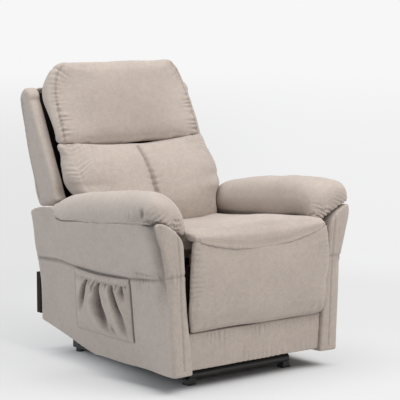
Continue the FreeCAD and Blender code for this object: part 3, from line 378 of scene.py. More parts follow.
def new_material(name, group, values, sockets, bump=0.2, bump_distance=0.0004):
    """A Principled material whose colour, roughness and height come from one group."""
    material = bpy.data.materials.new(name)
    material.use_nodes = True
    tree = material.node_tree
    tree.nodes.clear()
    out = tree.nodes.new("ShaderNodeOutputMaterial")
    shader = tree.nodes.new("ShaderNodeBsdfPrincipled")
    tree.links.new(shader.outputs[0], out.inputs["Surface"])
    finish = tree.nodes.new("ShaderNodeGroup")
    finish.node_tree = group
    for label, value in values.items():
        finish.inputs[label].default_value = value
    for label, value in sockets.items():
        shader.inputs[label].default_value = value
    bump_node = tree.nodes.new("ShaderNodeBump")
    bump_node.inputs["Strength"].default_value = bump
    bump_node.inputs["Distance"].default_value = bump_distance
    tree.links.new(finish.outputs["Colour"], shader.inputs["Base Color"])
    tree.links.new(finish.outputs["Roughness"], shader.inputs["Roughness"])
    tree.links.new(finish.outputs["Height"], bump_node.inputs["Height"])
    tree.links.new(bump_node.outputs[0], shader.inputs["Normal"])
    return material


print("a material joins one group to a Principled shader")

# %% [markdown]
# Cloth. The cover is a warm grey-beige pile with a little sheen. The lining, seen only in deep gaps,
# is near black: it is the chair's own black cloth, and it also stands as painted shade on surfaces
# hidden in those gaps. Threads are a shade darker than the cover, and straps are dark grey webbing.
# They all use the pile group, because they differ only in colour and in how coarse their threads are.

# %% Cloth materials
LIT_CLOTH = (0.545, 0.468, 0.412, 1)
# The deep colour is the dark end of the cover: its random clouding dips towards it, and painted shade in
# seams and folds is mixed towards it.
DEEP_CLOTH = (0.085, 0.067, 0.059, 1)
cover_cloth = new_material("cover_cloth", pile_cloth,
                           {"Lit Colour": LIT_CLOTH, "Deep Colour": DEEP_CLOTH,
                            "Cloud": 0.36, "Pitch": 0.0024},
                           {"Sheen Weight": 0.3, "Sheen Roughness": 0.5, "Specular IOR Level": 0.15},
                           bump=0.35, bump_distance=0.0006)
lining_cloth = new_material("lining_cloth", pile_cloth,
                            {"Lit Colour": (0.036, 0.029, 0.025, 1), "Deep Colour": (0.014, 0.011, 0.009, 1),
                             "Cloud": 0.5, "Pitch": 0.0014}, {"Specular IOR Level": 0.1}, bump=0.25)
thread_cloth = new_material("thread_cloth", pile_cloth,
                            {"Lit Colour": (0.44, 0.375, 0.325, 1), "Deep Colour": DEEP_CLOTH, "Cloud": 0.2,
                             "Pitch": 0.001}, {"Sheen Weight": 0.1, "Specular IOR Level": 0.25}, bump=0.2)
strap_cloth = new_material("strap_cloth", pile_cloth,
                           {"Lit Colour": (0.09, 0.09, 0.1, 1), "Deep Colour": (0.03, 0.03, 0.03, 1),
                            "Cloud": 0.4, "Pitch": 0.003}, {"Specular IOR Level": 0.2}, bump=0.5)
print("cloths:", [m.name for m in (cover_cloth, lining_cloth, thread_cloth, strap_cloth)])

# %% Hard materials
black_coat = new_material("black_coat", surface_grain,
                          {"Colour": (0.007, 0.007, 0.0075, 1), "Dust Colour": (0.11, 0.105, 0.10, 1),
                           "Dust": 0.05, "Grain Size": 0.0016, "Roughness": 0.38},
                          {"Coat Weight": 0.15}, bump=0.12)
zinc_plate = new_material("zinc_plate", surface_grain,
                          {"Colour": (0.42, 0.42, 0.43, 1), "Dust Colour": (0.2, 0.19, 0.18, 1), "Dust": 0.35,
                           "Grain Size": 0.001, "Roughness": 0.36}, {"Metallic": 1.0}, bump=0.1)
polished_steel = new_material("polished_steel", surface_grain,
                              {"Colour": (0.66, 0.66, 0.67, 1), "Dust Colour": (0.3, 0.29, 0.27, 1),
                               "Dust": 0.12, "Grain Size": 0.0006, "Roughness": 0.14},
                              {"Metallic": 1.0}, bump=0.04)
black_moulding = new_material("black_moulding", surface_grain,
                              {"Colour": (0.018, 0.018, 0.019, 1), "Dust Colour": (0.12, 0.12, 0.12, 1),
                               "Dust": 0.12, "Grain Size": 0.0009, "Roughness": 0.52}, {}, bump=0.3)
grey_button = new_material("grey_button", surface_grain,
                           {"Colour": (0.3, 0.31, 0.32, 1), "Dust Colour": (0.5, 0.5, 0.5, 1), "Dust": 0.1,
                            "Grain Size": 0.0007, "Roughness": 0.45}, {}, bump=0.15)
plywood = new_material("plywood", surface_grain,
                       {"Colour": (0.50, 0.34, 0.19, 1), "Dust Colour": (0.30, 0.19, 0.10, 1), "Dust": 0.8,
                        "Grain Size": 0.004, "Roughness": 0.7}, {}, bump=0.3)
print("materials:", len(bpy.data.materials))

# %% [markdown]
# Hard parts keep the frame's own shapes, because the frame made them at their real size. They only
# need their finish, so each gets its material here, by the slot that the record names for it.

# %% Finish the hard parts
FINISHES = {
    "black_frame": black_coat, "zinc_links": zinc_plate, "polished_rod": polished_steel,
    "black_plastic": black_moulding, "button_plastic": grey_button, "wood": plywood,
    "webbing": strap_cloth, "black_cloth": lining_cloth, "upholstery": cover_cloth,
}
for row in frame["record"]["subparts"]:
    shown = nodes[row["node"]]
    shown.data.materials.clear()
    shown.data.materials.append(FINISHES[row["material_slot"]])

# %% [markdown]
# Soft pieces. Each starts from the form that the frame holds, because that is the space it may
# fill. The steps are those of an upholsterer: cut the form, stuff it, sew the seams, and let the
# cloth gather where it is sewn short. Sculpt brushes could do this by hand. Moving the points in
# code is chosen because both sides then match and every fold has a known depth.

# %% Read and write a mesh as numbers


def evaluated_mesh(piece):
    """The piece's mesh with its modifiers applied."""
    depsgraph = bpy.context.evaluated_depsgraph_get()
    return bpy.data.meshes.new_from_object(piece.evaluated_get(depsgraph))


def settle(piece):
    """Applies every modifier on a piece."""
    mesh = evaluated_mesh(piece)
    old = piece.data
    piece.modifiers.clear()
    piece.data = mesh
    bpy.data.meshes.remove(old)


def read_vectors(mesh, what):
    """A mesh's places or normals, one row for each point."""
    flat = np.empty(len(mesh.vertices) * 3)
    mesh.vertices.foreach_get(what, flat)
    return flat.reshape(-1, 3)


def points_of(piece):
    """The piece's points, one row each."""
    return read_vectors(piece.data, "co")


def normals_of(piece):
    """The piece's normals, one row for each point."""
    return read_vectors(piece.data, "normal")


def set_points(piece, points):
    """Puts the piece's points at new places."""
    piece.data.vertices.foreach_set("co", points.ravel())
    piece.data.update()


def push(piece, amount):
    """Moves every point along its normal."""
    set_points(piece, points_of(piece) + normals_of(piece) * amount[:, None])


def step_up(values, start, end):
    """0 before start, 1 after end, and a smooth rise between. End may be the lower one."""
    share = np.clip((values - start) / (end - start), 0, 1)
    return share * share * (3 - 2 * share)


print("half way up a smooth step:", float(step_up(np.array([0.5]), 0, 1)[0]))

# %% Cut a form from the frame


def cut_from(name, members, voxel, smooth=4):
    """A new closed mesh over the form of some frame nodes, with an even grid of faces."""
    joined = bmesh.new()
    for member in members:
        joined.from_mesh(nodes[member].data)
    mesh = bpy.data.meshes.new(name)
    joined.to_mesh(mesh)
    joined.free()
    piece = bpy.data.objects.new(name, mesh)
    scene.collection.objects.link(piece)
    remesh = piece.modifiers.new("even", "REMESH")
    remesh.mode = "VOXEL"
    remesh.voxel_size = voxel
    relax = piece.modifiers.new("relax", "SMOOTH")
    relax.factor = 0.5
    relax.iterations = smooth
    settle(piece)
    return piece


def refine(piece, levels=1):
    """Splits every face in four with a smooth surface."""
    piece.modifiers.new("fine", "SUBSURF").levels = levels
    settle(piece)


def tighten(piece, members, share):
    """Draws the cloth back onto the cut form, whose edges the even grid has rounded off."""
    trees = [BVHTree.FromPolygons([v.co for v in nodes[m].data.vertices],
                                  [f.vertices for f in nodes[m].data.polygons]) for m in members]
    points = points_of(piece)
    target = points.copy()
    for index, point in enumerate(points):
        found = min((tree.find_nearest(Vector(point)) for tree in trees), key=lambda hit: hit[3])
        target[index] = found[0]
    set_points(piece, points + (target - points) * share)


def move(piece, share, direction):
    """Moves every point along one direction, each by its own share."""
    set_points(piece, points_of(piece) + np.outer(share, np.array(direction)))


print("cutting helpers: cut_from, refine, tighten, move")

# %% [markdown]
# Seams are drawn as a tailor marks them: a few points on the panel seen from one side, joined by a
# smooth curve, and laid down on the cloth. They could be edges picked in the mesh, but the even grid
# has no edges along a seam, and a curve of marks can be moved without touching the mesh. Every seam,
# gather and row of stitches uses such a line.

# %% Smooth curves through marks
LOOKS = {"front": (0, 1, 0), "back": (0, -1, 0), "right_side": (1, 0, 0), "left_side": (-1, 0, 0),
         "above": (0, 0, -1), "below": (0, 0, 1)}
SEEN_AXES = {"front": (0, 2), "back": (0, 2), "right_side": (1, 2), "left_side": (1, 2), "above": (0, 1),
             "below": (0, 1)}


def curve_through(points, spacing=0.004):
    """Points at an even spacing on a smooth curve through a few marks."""
    marks = np.array(points, float)
    if len(marks) > 2:
        ends = np.vstack([2 * marks[0] - marks[1], marks, 2 * marks[-1] - marks[-2]])
        rows = []
        for a, b, c, d in zip(ends[:-3], ends[1:-2], ends[2:-1], ends[3:]):
            t = np.linspace(0, 1, 24, endpoint=False)[:, None]
            rows.append(0.5 * (2 * b + (c - a) * t + (2 * a - 5 * b + 4 * c - d) * t ** 2
                               + (3 * b - a - 3 * c + d) * t ** 3))
        marks = np.vstack(rows + [marks[-1:]])
    run = np.concatenate([[0], np.cumsum(np.linalg.norm(np.diff(marks, axis=0), axis=1))])
    even = np.linspace(0, run[-1], max(int(run[-1] / spacing), 2) + 1)
    return np.column_stack([np.interp(even, run, marks[:, i]) for i in range(marks.shape[1])])


print("seams can be marked from:", ", ".join(LOOKS))

# %% Lay a seam on the cloth


def surface_tree(piece):
    """The piece's faces, sorted for quick rays and nearest places."""
    faces = [face.vertices for face in piece.data.polygons]
    return BVHTree.FromPolygons([v.co for v in piece.data.vertices], faces)


def lay_seam(piece, marks, look, spacing=0.004):
    """A seam marked on the panel as seen from one side, laid down on the cloth."""
    tree = surface_tree(piece)
    direction = Vector(LOOKS[look])
    first, second = SEEN_AXES[look]
    line = []
    for at in curve_through(marks, spacing):
        origin = -direction * 2.0
        origin[first], origin[second] = at
        place = tree.ray_cast(origin, direction)[0]
        if place is not None:
            line.append(tuple(place))
    return np.array(line)


def snap_seam(piece, marks, spacing=0.004):
    """A seam marked by points in space, moved onto the nearest cloth."""
    tree = surface_tree(piece)
    return np.array([tuple(tree.find_nearest(Vector(at))[0]) for at in curve_through(marks, spacing)])


def along_line(points, line, reach=0.2):
    """For each point: its distance from a line, and how far along the line that is."""
    distance = np.full(len(points), 9.0)
    run = np.zeros(len(points))
    close = np.all((points > line.min(0) - reach) & (points < line.max(0) + reach), axis=1)
    near = points[close]
    best = np.full(len(near), 9.0)
    at = np.zeros(len(near))
    start = 0.0
    for a, b in zip(line[:-1], line[1:]):
        step = b - a
        length = max(np.linalg.norm(step), 1e-6)
        share = np.clip((near - a) @ step / length ** 2, 0, 1)
        away = np.linalg.norm(near - (a + share[:, None] * step), axis=1)
        nearer = away < best
        best[nearer] = away[nearer]
        at[nearer] = start + share[nearer] * length
        start += length
    distance[close] = best
    run[close] = at
    return distance, run


print("seam helpers: lay_seam, snap_seam, along_line")

# %% Unevenness that is the same on every run


def clouds(points, size, seed):
    """A smooth uneven value from about -1 to 1 over a set of points."""
    source = np.random.RandomState(seed)
    total = np.zeros(len(points))
    for _ in range(14):
        direction = source.normal(size=3)
        direction /= np.linalg.norm(direction)
        wave = 2 * math.pi / (size * source.uniform(0.7, 1.8))
        total += np.sin(points @ direction * wave + source.uniform(0, 2 * math.pi))
    return total / 3.7


def ripple(run, size, seed):
    """The same along one length."""
    return clouds(np.column_stack([run, np.zeros(len(run)), np.zeros(len(run))]), size, seed)


print("clouds repeat:", float(ripple(np.zeros(1), 1.0, 1)[0]) == float(ripple(np.zeros(1), 1.0, 1)[0]))

# %% [markdown]
# Needlework. A seam pulls the cloth in and lets it swell a little on both sides. Where a longer cloth
# is sewn to a shorter one it puckers: small ridges leave the seam at right angles and fade out. A
# bump in the material could draw them, but it would vanish at the outline, so the points themselves
# move. A value named crease tells the material where the cloth is drawn in and catches less light,
# and the material darkens its colour there as painted shade.

# %% Sew a seam


def paint_crease_shade(piece, amount):
    """Marks how far the cloth is drawn in, which its material reads as painted shade."""
    data = piece.data.attributes.get("crease") or piece.data.attributes.new("crease", "FLOAT", "POINT")
    values = np.zeros(len(piece.data.vertices))
    data.data.foreach_get("value", values)
    data.data.foreach_set("value", np.clip(np.maximum(values, amount), 0, 1))


def sew(piece, line, depth=0.003, width=0.005, dark=0.35, lip=0.35, taper=False):
    """Draws the cloth in along a seam, lets it swell a little beside it, and paints shade along the seam."""
    distance, run = along_line(points_of(piece), line, width * 5)
    pull = np.exp(-(distance / width) ** 2)
    swell = np.exp(-((distance - 2.3 * width) / (1.2 * width)) ** 2)
    if taper:
        total = np.linalg.norm(np.diff(line, axis=0), axis=1).sum()
        ends = np.sin(np.clip(run / total, 0, 1) * math.pi) ** 0.7
        pull, swell = pull * ends, swell * ends
    push(piece, depth * (lip * swell - pull))
    paint_crease_shade(piece, pull * dark)


print("sewing helpers: paint_crease_shade, sew")

# %% Gather, slacken and plump


def gather(piece, line, reach, pitch, height, seed, lean=0.0, side=None, dark=0.3):
    """Uneven puckers that leave a seam at right angles and fade out, with painted shade in their valleys. A
    side keeps them to one part.
    """
    points = points_of(piece)
    distance, run = along_line(points, line, reach * 2.2)
    run = run + lean * distance
    phase = 2 * math.pi * (run / pitch + 0.35 * ripple(run, pitch * 4, seed))
    wave = np.cos(phase)
    fold = np.where(wave > 0, wave * 0.7, wave * np.abs(wave) * 1.3)
    strength = np.clip(0.6 + 0.6 * ripple(run, pitch * 5, seed + 1), 0.08, 1.4)
    length = reach * np.clip(0.75 + 0.4 * ripple(run, pitch * 2.5, seed + 2), 0.35, 1.3)
    fade = np.exp(-(distance / length) ** 2) * step_up(distance, 0.0, 0.1 * reach)
    lift = fold * strength * fade * height
    if side is not None:
        lift = lift * side(points)
    push(piece, lift)
    paint_crease_shade(piece, np.clip(-lift / height, 0, 1) * dark)


def slack(piece, size, height, seed):
    """Slow unevenness of hand-stuffed padding."""
    push(piece, clouds(points_of(piece), size, seed) * height)


def plump(piece, centre, radius, height):
    """A soft swelling round one place, with its own reach along each axis."""
    offset = (points_of(piece) - np.array(centre)) / np.array(radius)
    push(piece, height * np.exp(-(offset ** 2).sum(1)))


print("padding helpers: gather, slack, plump")

# %% [markdown]
# Stuffing. A cushion is a bag that its filling blows up until the seams stop it. It could be rounded
# by moving points alone, but the cloth simulation finds by itself how a filled bag bulges between its
# seams. It starts a little too small, inner pressure swells it, and the points on seams stay where
# they are. The movement is capped, so the cushion stays in its place.

# %% Stuffing by pressure


def stuff(piece, pressure, cap, seams, hold=0.012, slim=0.003, grow=0.01, frames=14):
    """Blows a form up as its filling does, except along its seams."""
    rest = points_of(piece)
    weights = np.zeros(len(rest))
    for line in seams:
        weights = np.maximum(weights, np.exp(-(along_line(rest, line, hold * 3)[0] / hold) ** 2))
    push(piece, -slim * (1 - weights))
    rest = points_of(piece)
    cloth = piece.modifiers.new("filling", "CLOTH")
    cloth.point_cache.frame_end = frames
    settings = cloth.settings
    settings.quality = 4
    settings.mass = 0.25
    settings.use_pressure = True
    settings.uniform_pressure_force = pressure
    settings.effector_weights.gravity = 0
    settings.tension_stiffness = 10
    settings.compression_stiffness = 10
    settings.bending_stiffness = 0.4
    settings.shrink_min = -grow
    group = piece.vertex_groups.new(name="held")
    for index in np.nonzero(weights > 0.02)[0]:
        group.add([int(index)], float(weights[index]), "REPLACE")
    settings.vertex_group_mass = "held"
    for number in range(1, frames + 1):
        scene.frame_set(number)
    mesh = evaluated_mesh(piece)
    moved = read_vectors(mesh, "co") - rest
    bpy.data.meshes.remove(mesh)
    inward = np.minimum((moved * normals_of(piece)).sum(1), 0)
    moved -= normals_of(piece) * inward[:, None] * 0.75
    piece.modifiers.clear()
    scene.frame_set(1)
    length = np.linalg.norm(moved, axis=1)
    limit = cap * np.tanh(length / cap) / np.maximum(length, 1e-9)
    set_points(piece, rest + moved * limit[:, None])
    print(piece.name, "swelled by up to", round(float(length.max()) * 1000, 1), "mm")


print("stuffing is", "simulated")

# %% Cover and place of a soft piece


def finish_soft(piece, body, replaced, material=cover_cloth):
    """Gives a soft piece its cloth and its place on a body."""
    piece.data.materials.clear()
    piece.data.materials.append(material)
    piece.data.polygons.foreach_set("use_smooth", [True] * len(piece.data.polygons))
    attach(piece, body)
    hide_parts(*replaced)
    print(piece.name, len(piece.data.polygons), "faces")


print("soft pieces get", cover_cloth.name)

# %% [markdown]
# Stitches. A top-stitched seam shows a row of short threads, each dipping into the cloth at its
# ends. They could be drawn by a material along the seam. They are real little pieces of thread here,
# because a drawn or bumped line would vanish at a low angle.

# %% Stitches
THREAD_SIDES = 5


def stitch(name, piece, line, body, spacing=0.0065, length=0.0046, radius=0.0006, lift=0.0004):
    """A row of thread stitches along a line on a piece."""
    tree = surface_tree(piece)
    run = np.concatenate([[0], np.cumsum(np.linalg.norm(np.diff(line, axis=0), axis=1))])
    mesh = bmesh.new()
    turns = [2 * math.pi * k / THREAD_SIDES for k in range(THREAD_SIDES)]
    for start in np.arange(0, run[-1] - length, spacing):
        ends = [Vector([np.interp(at, run, line[:, i]) for i in range(3)]) for at in (start, start + length)]
        (here, normal, _, _), (there, _, _, _) = [tree.find_nearest(end) for end in ends]
        direction = there - here
        if direction.length < 0.3 * length:
            continue
        across = direction.cross(normal).normalized()
        rings = []
        for share, width, dip in ((0.0, 0.4, -1.0), (0.25, 1.0, 1.0), (0.75, 1.0, 1.0), (1.0, 0.4, -1.0)):
            centre = here + direction * share + normal * lift * dip
            rings.append([mesh.verts.new(centre + across * (radius * width * math.cos(t))
                                         + normal * (radius * width * math.sin(t))) for t in turns])
        for low, high in zip(rings[:-1], rings[1:]):
            for i in range(THREAD_SIDES):
                j = (i + 1) % THREAD_SIDES
                mesh.faces.new((low[i], low[j], high[j], high[i]))
        mesh.faces.new(rings[0][::-1])
        mesh.faces.new(rings[-1])
    bmesh.ops.recalc_face_normals(mesh, faces=mesh.faces)
    data = bpy.data.meshes.new(name)
    mesh.to_mesh(data)
    mesh.free()
    thread = bpy.data.objects.new(name, data)
    scene.collection.objects.link(thread)
    data.materials.append(thread_cloth)
    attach(thread, body)
    return thread


print("a stitch is a thread with", THREAD_SIDES, "sides")

# %% [markdown]
# The head cushion is a bolster: a boxed form, full in the middle, with rounded upper corners. The
# front panel is sewn to the side borders along an upright seam near each end, where the cloth
# gathers in short folds. A rounded box with a bump would look hard and empty. So the frame's form is
# swelled, its borders are brought forward as firm piping does, and the short folds are real.

# %% Marks on the back cushions
CUSHION_GRID = 0.007
HEAD_BORDER = [(0.303, 0.788), (0.304, 0.826), (0.301, 0.899), (0.289, 0.979), (0.271, 1.026), (0.250, 1.052)]
LUMBAR_BORDER = [(0.290, 0.776), (0.300, 0.735), (0.304, 0.690), (0.296, 0.640), (0.270, 0.595),
                 (0.246, 0.56), (0.244, 0.515)]
LUMBAR_TOP = [(0.315, 0.772), (0.25, 0.766), (0.17, 0.758)]
CENTRE_SEAM = [(0.0, 0.757), (0.0, 0.70), (0.0, 0.62), (0.0, 0.51)]


def mirror_marks(marks, side):
    """Marks seen from the front or back, on one side of the chair."""
    return [(side * x, z) for x, z in marks]


def fill_corners(piece, low_share, forward, wider):
    """Brings the upright edges of a cushion forward and out, as its firm borders do."""
    points = points_of(piece)
    share = step_up(np.abs(points[:, 0]), 0.12, 0.30) * low_share(points[:, 2])
    move(piece, share * -forward, (0, 1, 0))
    move(piece, share * np.sign(points[:, 0]) * wider, (1, 0, 0))


print("marks:", len(HEAD_BORDER), "on the head border,", len(LUMBAR_BORDER), "on the lumbar border")

# %% Head cushion
head = cut_from("head_cushion_cover", ["head_cushion"], CUSHION_GRID)
head_seams = [lay_seam(head, mirror_marks(HEAD_BORDER, side), "front") for side in (1, -1)]
stuff(head, 3.0, 0.014, head_seams, slim=0.002)
tighten(head, ["head_cushion"], 0.7)
refine(head)
fill_corners(head, lambda z: step_up(z, 0.975, 0.80), 0.026, -0.005)
fill_corners(head, lambda z: step_up(z, 0.90, 1.0), -0.008, -0.008)
for side in (1, -1):
    line = lay_seam(head, mirror_marks(HEAD_BORDER, side), "front")
    inner = lambda places, side=side: step_up(-side * places[:, 0], -0.312, -0.298)
    sew(head, line, depth=0.0028, width=0.0045, dark=0.3)
    gather(head, line, 0.036, 0.021, 0.0026, seed=12 + side, side=inner, dark=0.2)
    gather(head, line, 0.016, 0.016, 0.0012, seed=15 + side)
slack(head, 0.17, 0.0018, seed=5)
finish_soft(head, "backrest", ["head_cushion"])
for side, word in SIDES:
    marks = [(x - 0.004, z) for x, z in HEAD_BORDER]
    line = lay_seam(head, mirror_marks(marks, side), "front")
    stitch("head_" + word + "_stitches", head, line, "backrest")

# %% [markdown]
# The lumbar cushion has two lobes with one upright seam between them. It is sewn under the head
# cushion, so its cloth is drawn in along the top and along the borders. Two separate balloons would
# leave a gap at the seam, so it is one form whose seam is held while the rest swells. The corners are
# then filled out at the top, half way down and low down, each by its own amount.

# %% Lumbar cushion
lumbar = cut_from("lumbar_cushion_cover", ["lumbar_cushion"], CUSHION_GRID)
lumbar_seams = [lay_seam(lumbar, mirror_marks(LUMBAR_BORDER, side), "front") for side in (1, -1)]
lumbar_seams.append(lay_seam(lumbar, CENTRE_SEAM, "front"))
stuff(lumbar, 3.0, 0.014, lumbar_seams, slim=0.002)
tighten(lumbar, ["lumbar_cushion"], 0.7)
refine(lumbar)
fill_corners(lumbar, lambda z: step_up(z, 0.70, 0.775), 0.014, -0.010)
fill_corners(lumbar, lambda z: np.exp(-((z - 0.69) / 0.05) ** 2), 0.007, -0.003)
fill_corners(lumbar, lambda z: step_up(z, 0.645, 0.60), 0.018, 0.018)
fill_corners(lumbar, lambda z: np.exp(-((z - 0.635) / 0.03) ** 2), 0.0, 0.006)
move(lumbar, step_up(points_of(lumbar)[:, 2], 0.57, 0.51), (0, 0, -0.012))
line = lay_seam(lumbar, CENTRE_SEAM, "front")
sew(lumbar, line, depth=0.006, width=0.007, dark=0.45, lip=0.3)
gather(lumbar, line, 0.03, 0.026, 0.0012, seed=21)
for side in (1, -1):
    line = lay_seam(lumbar, mirror_marks(LUMBAR_BORDER, side), "front")
    sew(lumbar, line, depth=0.0008, width=0.0045, dark=0.05)
    gather(lumbar, line, 0.055, 0.020, 0.0019 - 0.0011 * side, seed=24 + side, lean=0.5, dark=0.15)
    top = lay_seam(lumbar, mirror_marks(LUMBAR_TOP, side), "front")
    gather(lumbar, top, 0.03, 0.014, 0.0018, seed=27 + side)
slack(lumbar, 0.18, 0.0022, seed=6)
# Painted shade: the whole lumbar cloth is made a little darker than the other cushions.
paint_crease_shade(lumbar, np.full(len(lumbar.data.vertices), 0.05))
finish_soft(lumbar, "backrest", ["lumbar_cushion"])

# %% [markdown]
# The seat cushion rolls over at the front like a waterfall, and meets the footrest pad at a curved
# seam with two rows of stitches above it. The frame leaves a running gap there for the footrest to
# unfold. One cloth over both pieces would tear when it unfolds, so each has its own cover. Their edges
# are squared off and padded out until they press lightly together, and look sewn.

# %% The front seam
SEAM_HALF = 0.302
SEAM_MIDDLE = 0.472
SEAM_RISE = 0.050


def front_seam(lift, half=SEAM_HALF):
    """Marks along the curved seam under the seat's front edge, as seen from the front."""
    xs = np.linspace(-half, half, 17)
    return [(x, SEAM_MIDDLE + SEAM_RISE * (x / SEAM_HALF) ** 2 + lift) for x in xs]


def seam_level(points):
    """The height of the front seam over each point."""
    return SEAM_MIDDLE + SEAM_RISE * np.clip(points[:, 0] / SEAM_HALF, -1, 1) ** 2


print("front seam:", SEAM_MIDDLE, "m high in the middle,", round(SEAM_MIDDLE + SEAM_RISE, 3), "m at its ends")

# %% Square and close the edges at the seam
STEEPEST_FACE = 0.3
LARGEST_SHIFT = 0.009


def square_edge(piece, side, first=0.020, second=0.034, share=0.9):
    """Runs the front face on to its edge at the seam. The side is 1 above the seam, -1 below it."""
    points = points_of(piece)
    normals = normals_of(piece)
    tree = surface_tree(piece)
    above = (points[:, 2] - seam_level(points)) * side
    wanted = (above < first) & (points[:, 1] < -0.42) & (normals[:, 1] < -0.12)
    for index in np.nonzero(wanted)[0]:
        x, y, z = points[index]
        level = SEAM_MIDDLE + SEAM_RISE * min(abs(x) / SEAM_HALF, 1) ** 2
        starts = [Vector((x, -1.0, level + side * h)) for h in (first, second)]
        hits = [tree.ray_cast(start, Vector((0, 1, 0)))[0] for start in starts]
        if hits[0] is None or hits[1] is None:
            continue
        slope = np.clip((hits[0].y - hits[1].y) / (first - second), -STEEPEST_FACE, STEEPEST_FACE)
        face = hits[0].y + slope * (above[index] - first)
        firm = min(1.0, (-normals[index][1] - 0.12) / 0.3)
        points[index][1] += max(min(face - y, 0.0) * share * firm, -LARGEST_SHIFT)
    set_points(piece, points)


def close_seam(piece, amount, band=0.018):
    """Moves the edge at the front seam up or down to close the running gap."""
    points = points_of(piece)
    share = np.exp(-((points[:, 2] - seam_level(points)) / band) ** 2) * step_up(points[:, 1], -0.415, -0.43)
    move(piece, share, (0, 0, amount))


print("an edge comes forward by at most", LARGEST_SHIFT * 1000, "mm")

# %% Seat cushion
SEAT_GRID = 0.0075
STITCH_ROWS = (0.013, 0.021)

seat = cut_from("seat_cushion_cover", ["seat_cushion"], SEAT_GRID)
seat_seams = [lay_seam(seat, front_seam(0.014, 0.29), "front")]
seat_floor = np.array([(0.0, y, 0.436) for y in np.linspace(-0.3, 0.18, 40)])
stuff(seat, 2.2, 0.010, seat_seams + [seat_floor], hold=0.014, slim=0.003, grow=0.004)
tighten(seat, ["seat_cushion"], 0.7)
refine(seat)
above_seam = points_of(seat)[:, 2] - seam_level(points_of(seat))
lip = np.exp(-(above_seam / 0.085) ** 2) * step_up(points_of(seat)[:, 1], -0.40, -0.47)
move(seat, lip, (0, -0.0065, 0))
square_edge(seat, 1)
close_seam(seat, -0.0120)
points = points_of(seat)
top_side = step_up(points[:, 2], 0.455, 0.48)
hollow = np.exp(-((points[:, 0] + 0.07) / 0.12) ** 2 - ((points[:, 1] - 0.13) / 0.09) ** 2)
move(seat, hollow * top_side, (0, 0, -0.010))
hollow = np.exp(-((points[:, 0] - 0.03) / 0.13) ** 2 - ((points[:, 1] - 0.04) / 0.10) ** 2)
move(seat, hollow * top_side, (0, 0, -0.009))
full = step_up(points[:, 0], 0.16, 0.27) * step_up(points[:, 1], -0.36, -0.12)
move(seat, full * top_side, (0, 0, 0.012))
slack(seat, 0.2, 0.0016, seed=7)
finish_soft(seat, "chair", ["seat_cushion"])
for row, lift in enumerate(STITCH_ROWS):
    line = lay_seam(seat, front_seam(lift, 0.286), "front")
    stitch("seat_stitches_" + str(row), seat, line, "chair")

# %% [markdown]
# The footrest pad is a broad, softly padded panel that hangs on the folded footrest. It could be a
# plain slab, but a filled pad is fuller in the middle and pulls in between its corners. So it is
# swelled with its back held to the board, and its lower corners are then let out sideways.

# %% Footrest pad
PAD_EDGE = [(0.285, 0.49), (0.292, 0.42), (0.292, 0.34), (0.280, 0.25)]

pad = cut_from("footrest_pad_cover", ["footrest_pad"], CUSHION_GRID)
pad_seams = [lay_seam(pad, front_seam(-0.010, 0.27), "front")]
pad_back = np.array([(x, -0.421, 0.34) for x in np.linspace(-0.26, 0.26, 40)])
stuff(pad, 2.2, 0.010, pad_seams + [pad_back], hold=0.014, slim=0.003, grow=0.006)
tighten(pad, ["footrest_pad"], 0.7)
refine(pad)
points = points_of(pad)
low = step_up(points[:, 2], 0.36, 0.22)
outer = step_up(np.abs(points[:, 0]), 0.20, 0.29)
move(pad, low * outer * np.sign(points[:, 0]), (0.012, 0, 0))
move(pad, step_up(points[:, 2], 0.30, 0.21), (0, 0.008, -0.007))
move(pad, step_up(points[:, 2], 0.30, 0.42) * outer * (points[:, 0] > 0), (0.006, 0, 0))
near = outer * (points[:, 0] < 0)
move(pad, near * np.exp(-((points[:, 2] - 0.435) / 0.055) ** 2), (0.004, 0, 0))
move(pad, near * np.exp(-((points[:, 2] - 0.285) / 0.05) ** 2), (-0.006, 0, 0))
square_edge(pad, -1)
close_seam(pad, 0.0055)
plump(pad, (0.0, -0.475, 0.37), (0.26, 0.1, 0.11), 0.006)
for side in (1, -1):
    edge = lay_seam(pad, mirror_marks(PAD_EDGE, side), "front")
    gather(pad, edge, 0.028, 0.017, 0.0012, seed=43 + side, dark=0.12)
bottom = lay_seam(pad, [(-0.26, 0.222), (0.0, 0.222), (0.26, 0.222)], "front")
gather(pad, bottom, 0.03, 0.03, 0.0010, seed=46, dark=0.08)
slack(pad, 0.22, 0.002, seed=8)
finish_soft(pad, "footrest", ["footrest_pad"])

# %% [markdown]
# The kick panel below the pad is thinner cloth, stretched over a board between the arms, with fine
# upright wrinkles. A stretched cloth doesn't bulge, so it isn't stuffed. The wrinkles are gathers that
# leave its top edge and its hem and meet half way.

# %% Kick panel
KICK_GRID = 0.005

kick = cut_from("kick_panel_cover", ["kick_panel"], KICK_GRID, smooth=3)
refine(kick)
kick_low, kick_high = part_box("kick_panel")
kick_top = lay_seam(kick, [(x, kick_high.z - 0.004) for x in (-0.28, 0.0, 0.28)], "front")
gather(kick, kick_top, 0.06, 0.019, 0.0014, seed=43, dark=0.15)
kick_hem = lay_seam(kick, [(x, kick_low.z + 0.005) for x in (-0.27, 0.0, 0.27)], "front")
gather(kick, kick_hem, 0.045, 0.024, 0.0013, seed=47, dark=0.12)
slack(kick, 0.15, 0.001, seed=9)
finish_soft(kick, "chair", ["kick_panel"])

# %% [markdown]
# Each arm has stiff padded panels and a pillow pad on top. A seam runs along the outer side and
# round the front corner. The panel above it is fuller and rolls a little over the seam, and the
# pocket hangs from the right arm's seam. Separate panels sewn edge to edge would show their joints
# when the light is low, so the arm is one cover. Its seams, roll, waist and front band are drawn into
# it, each by a share that fades out smoothly round its place.

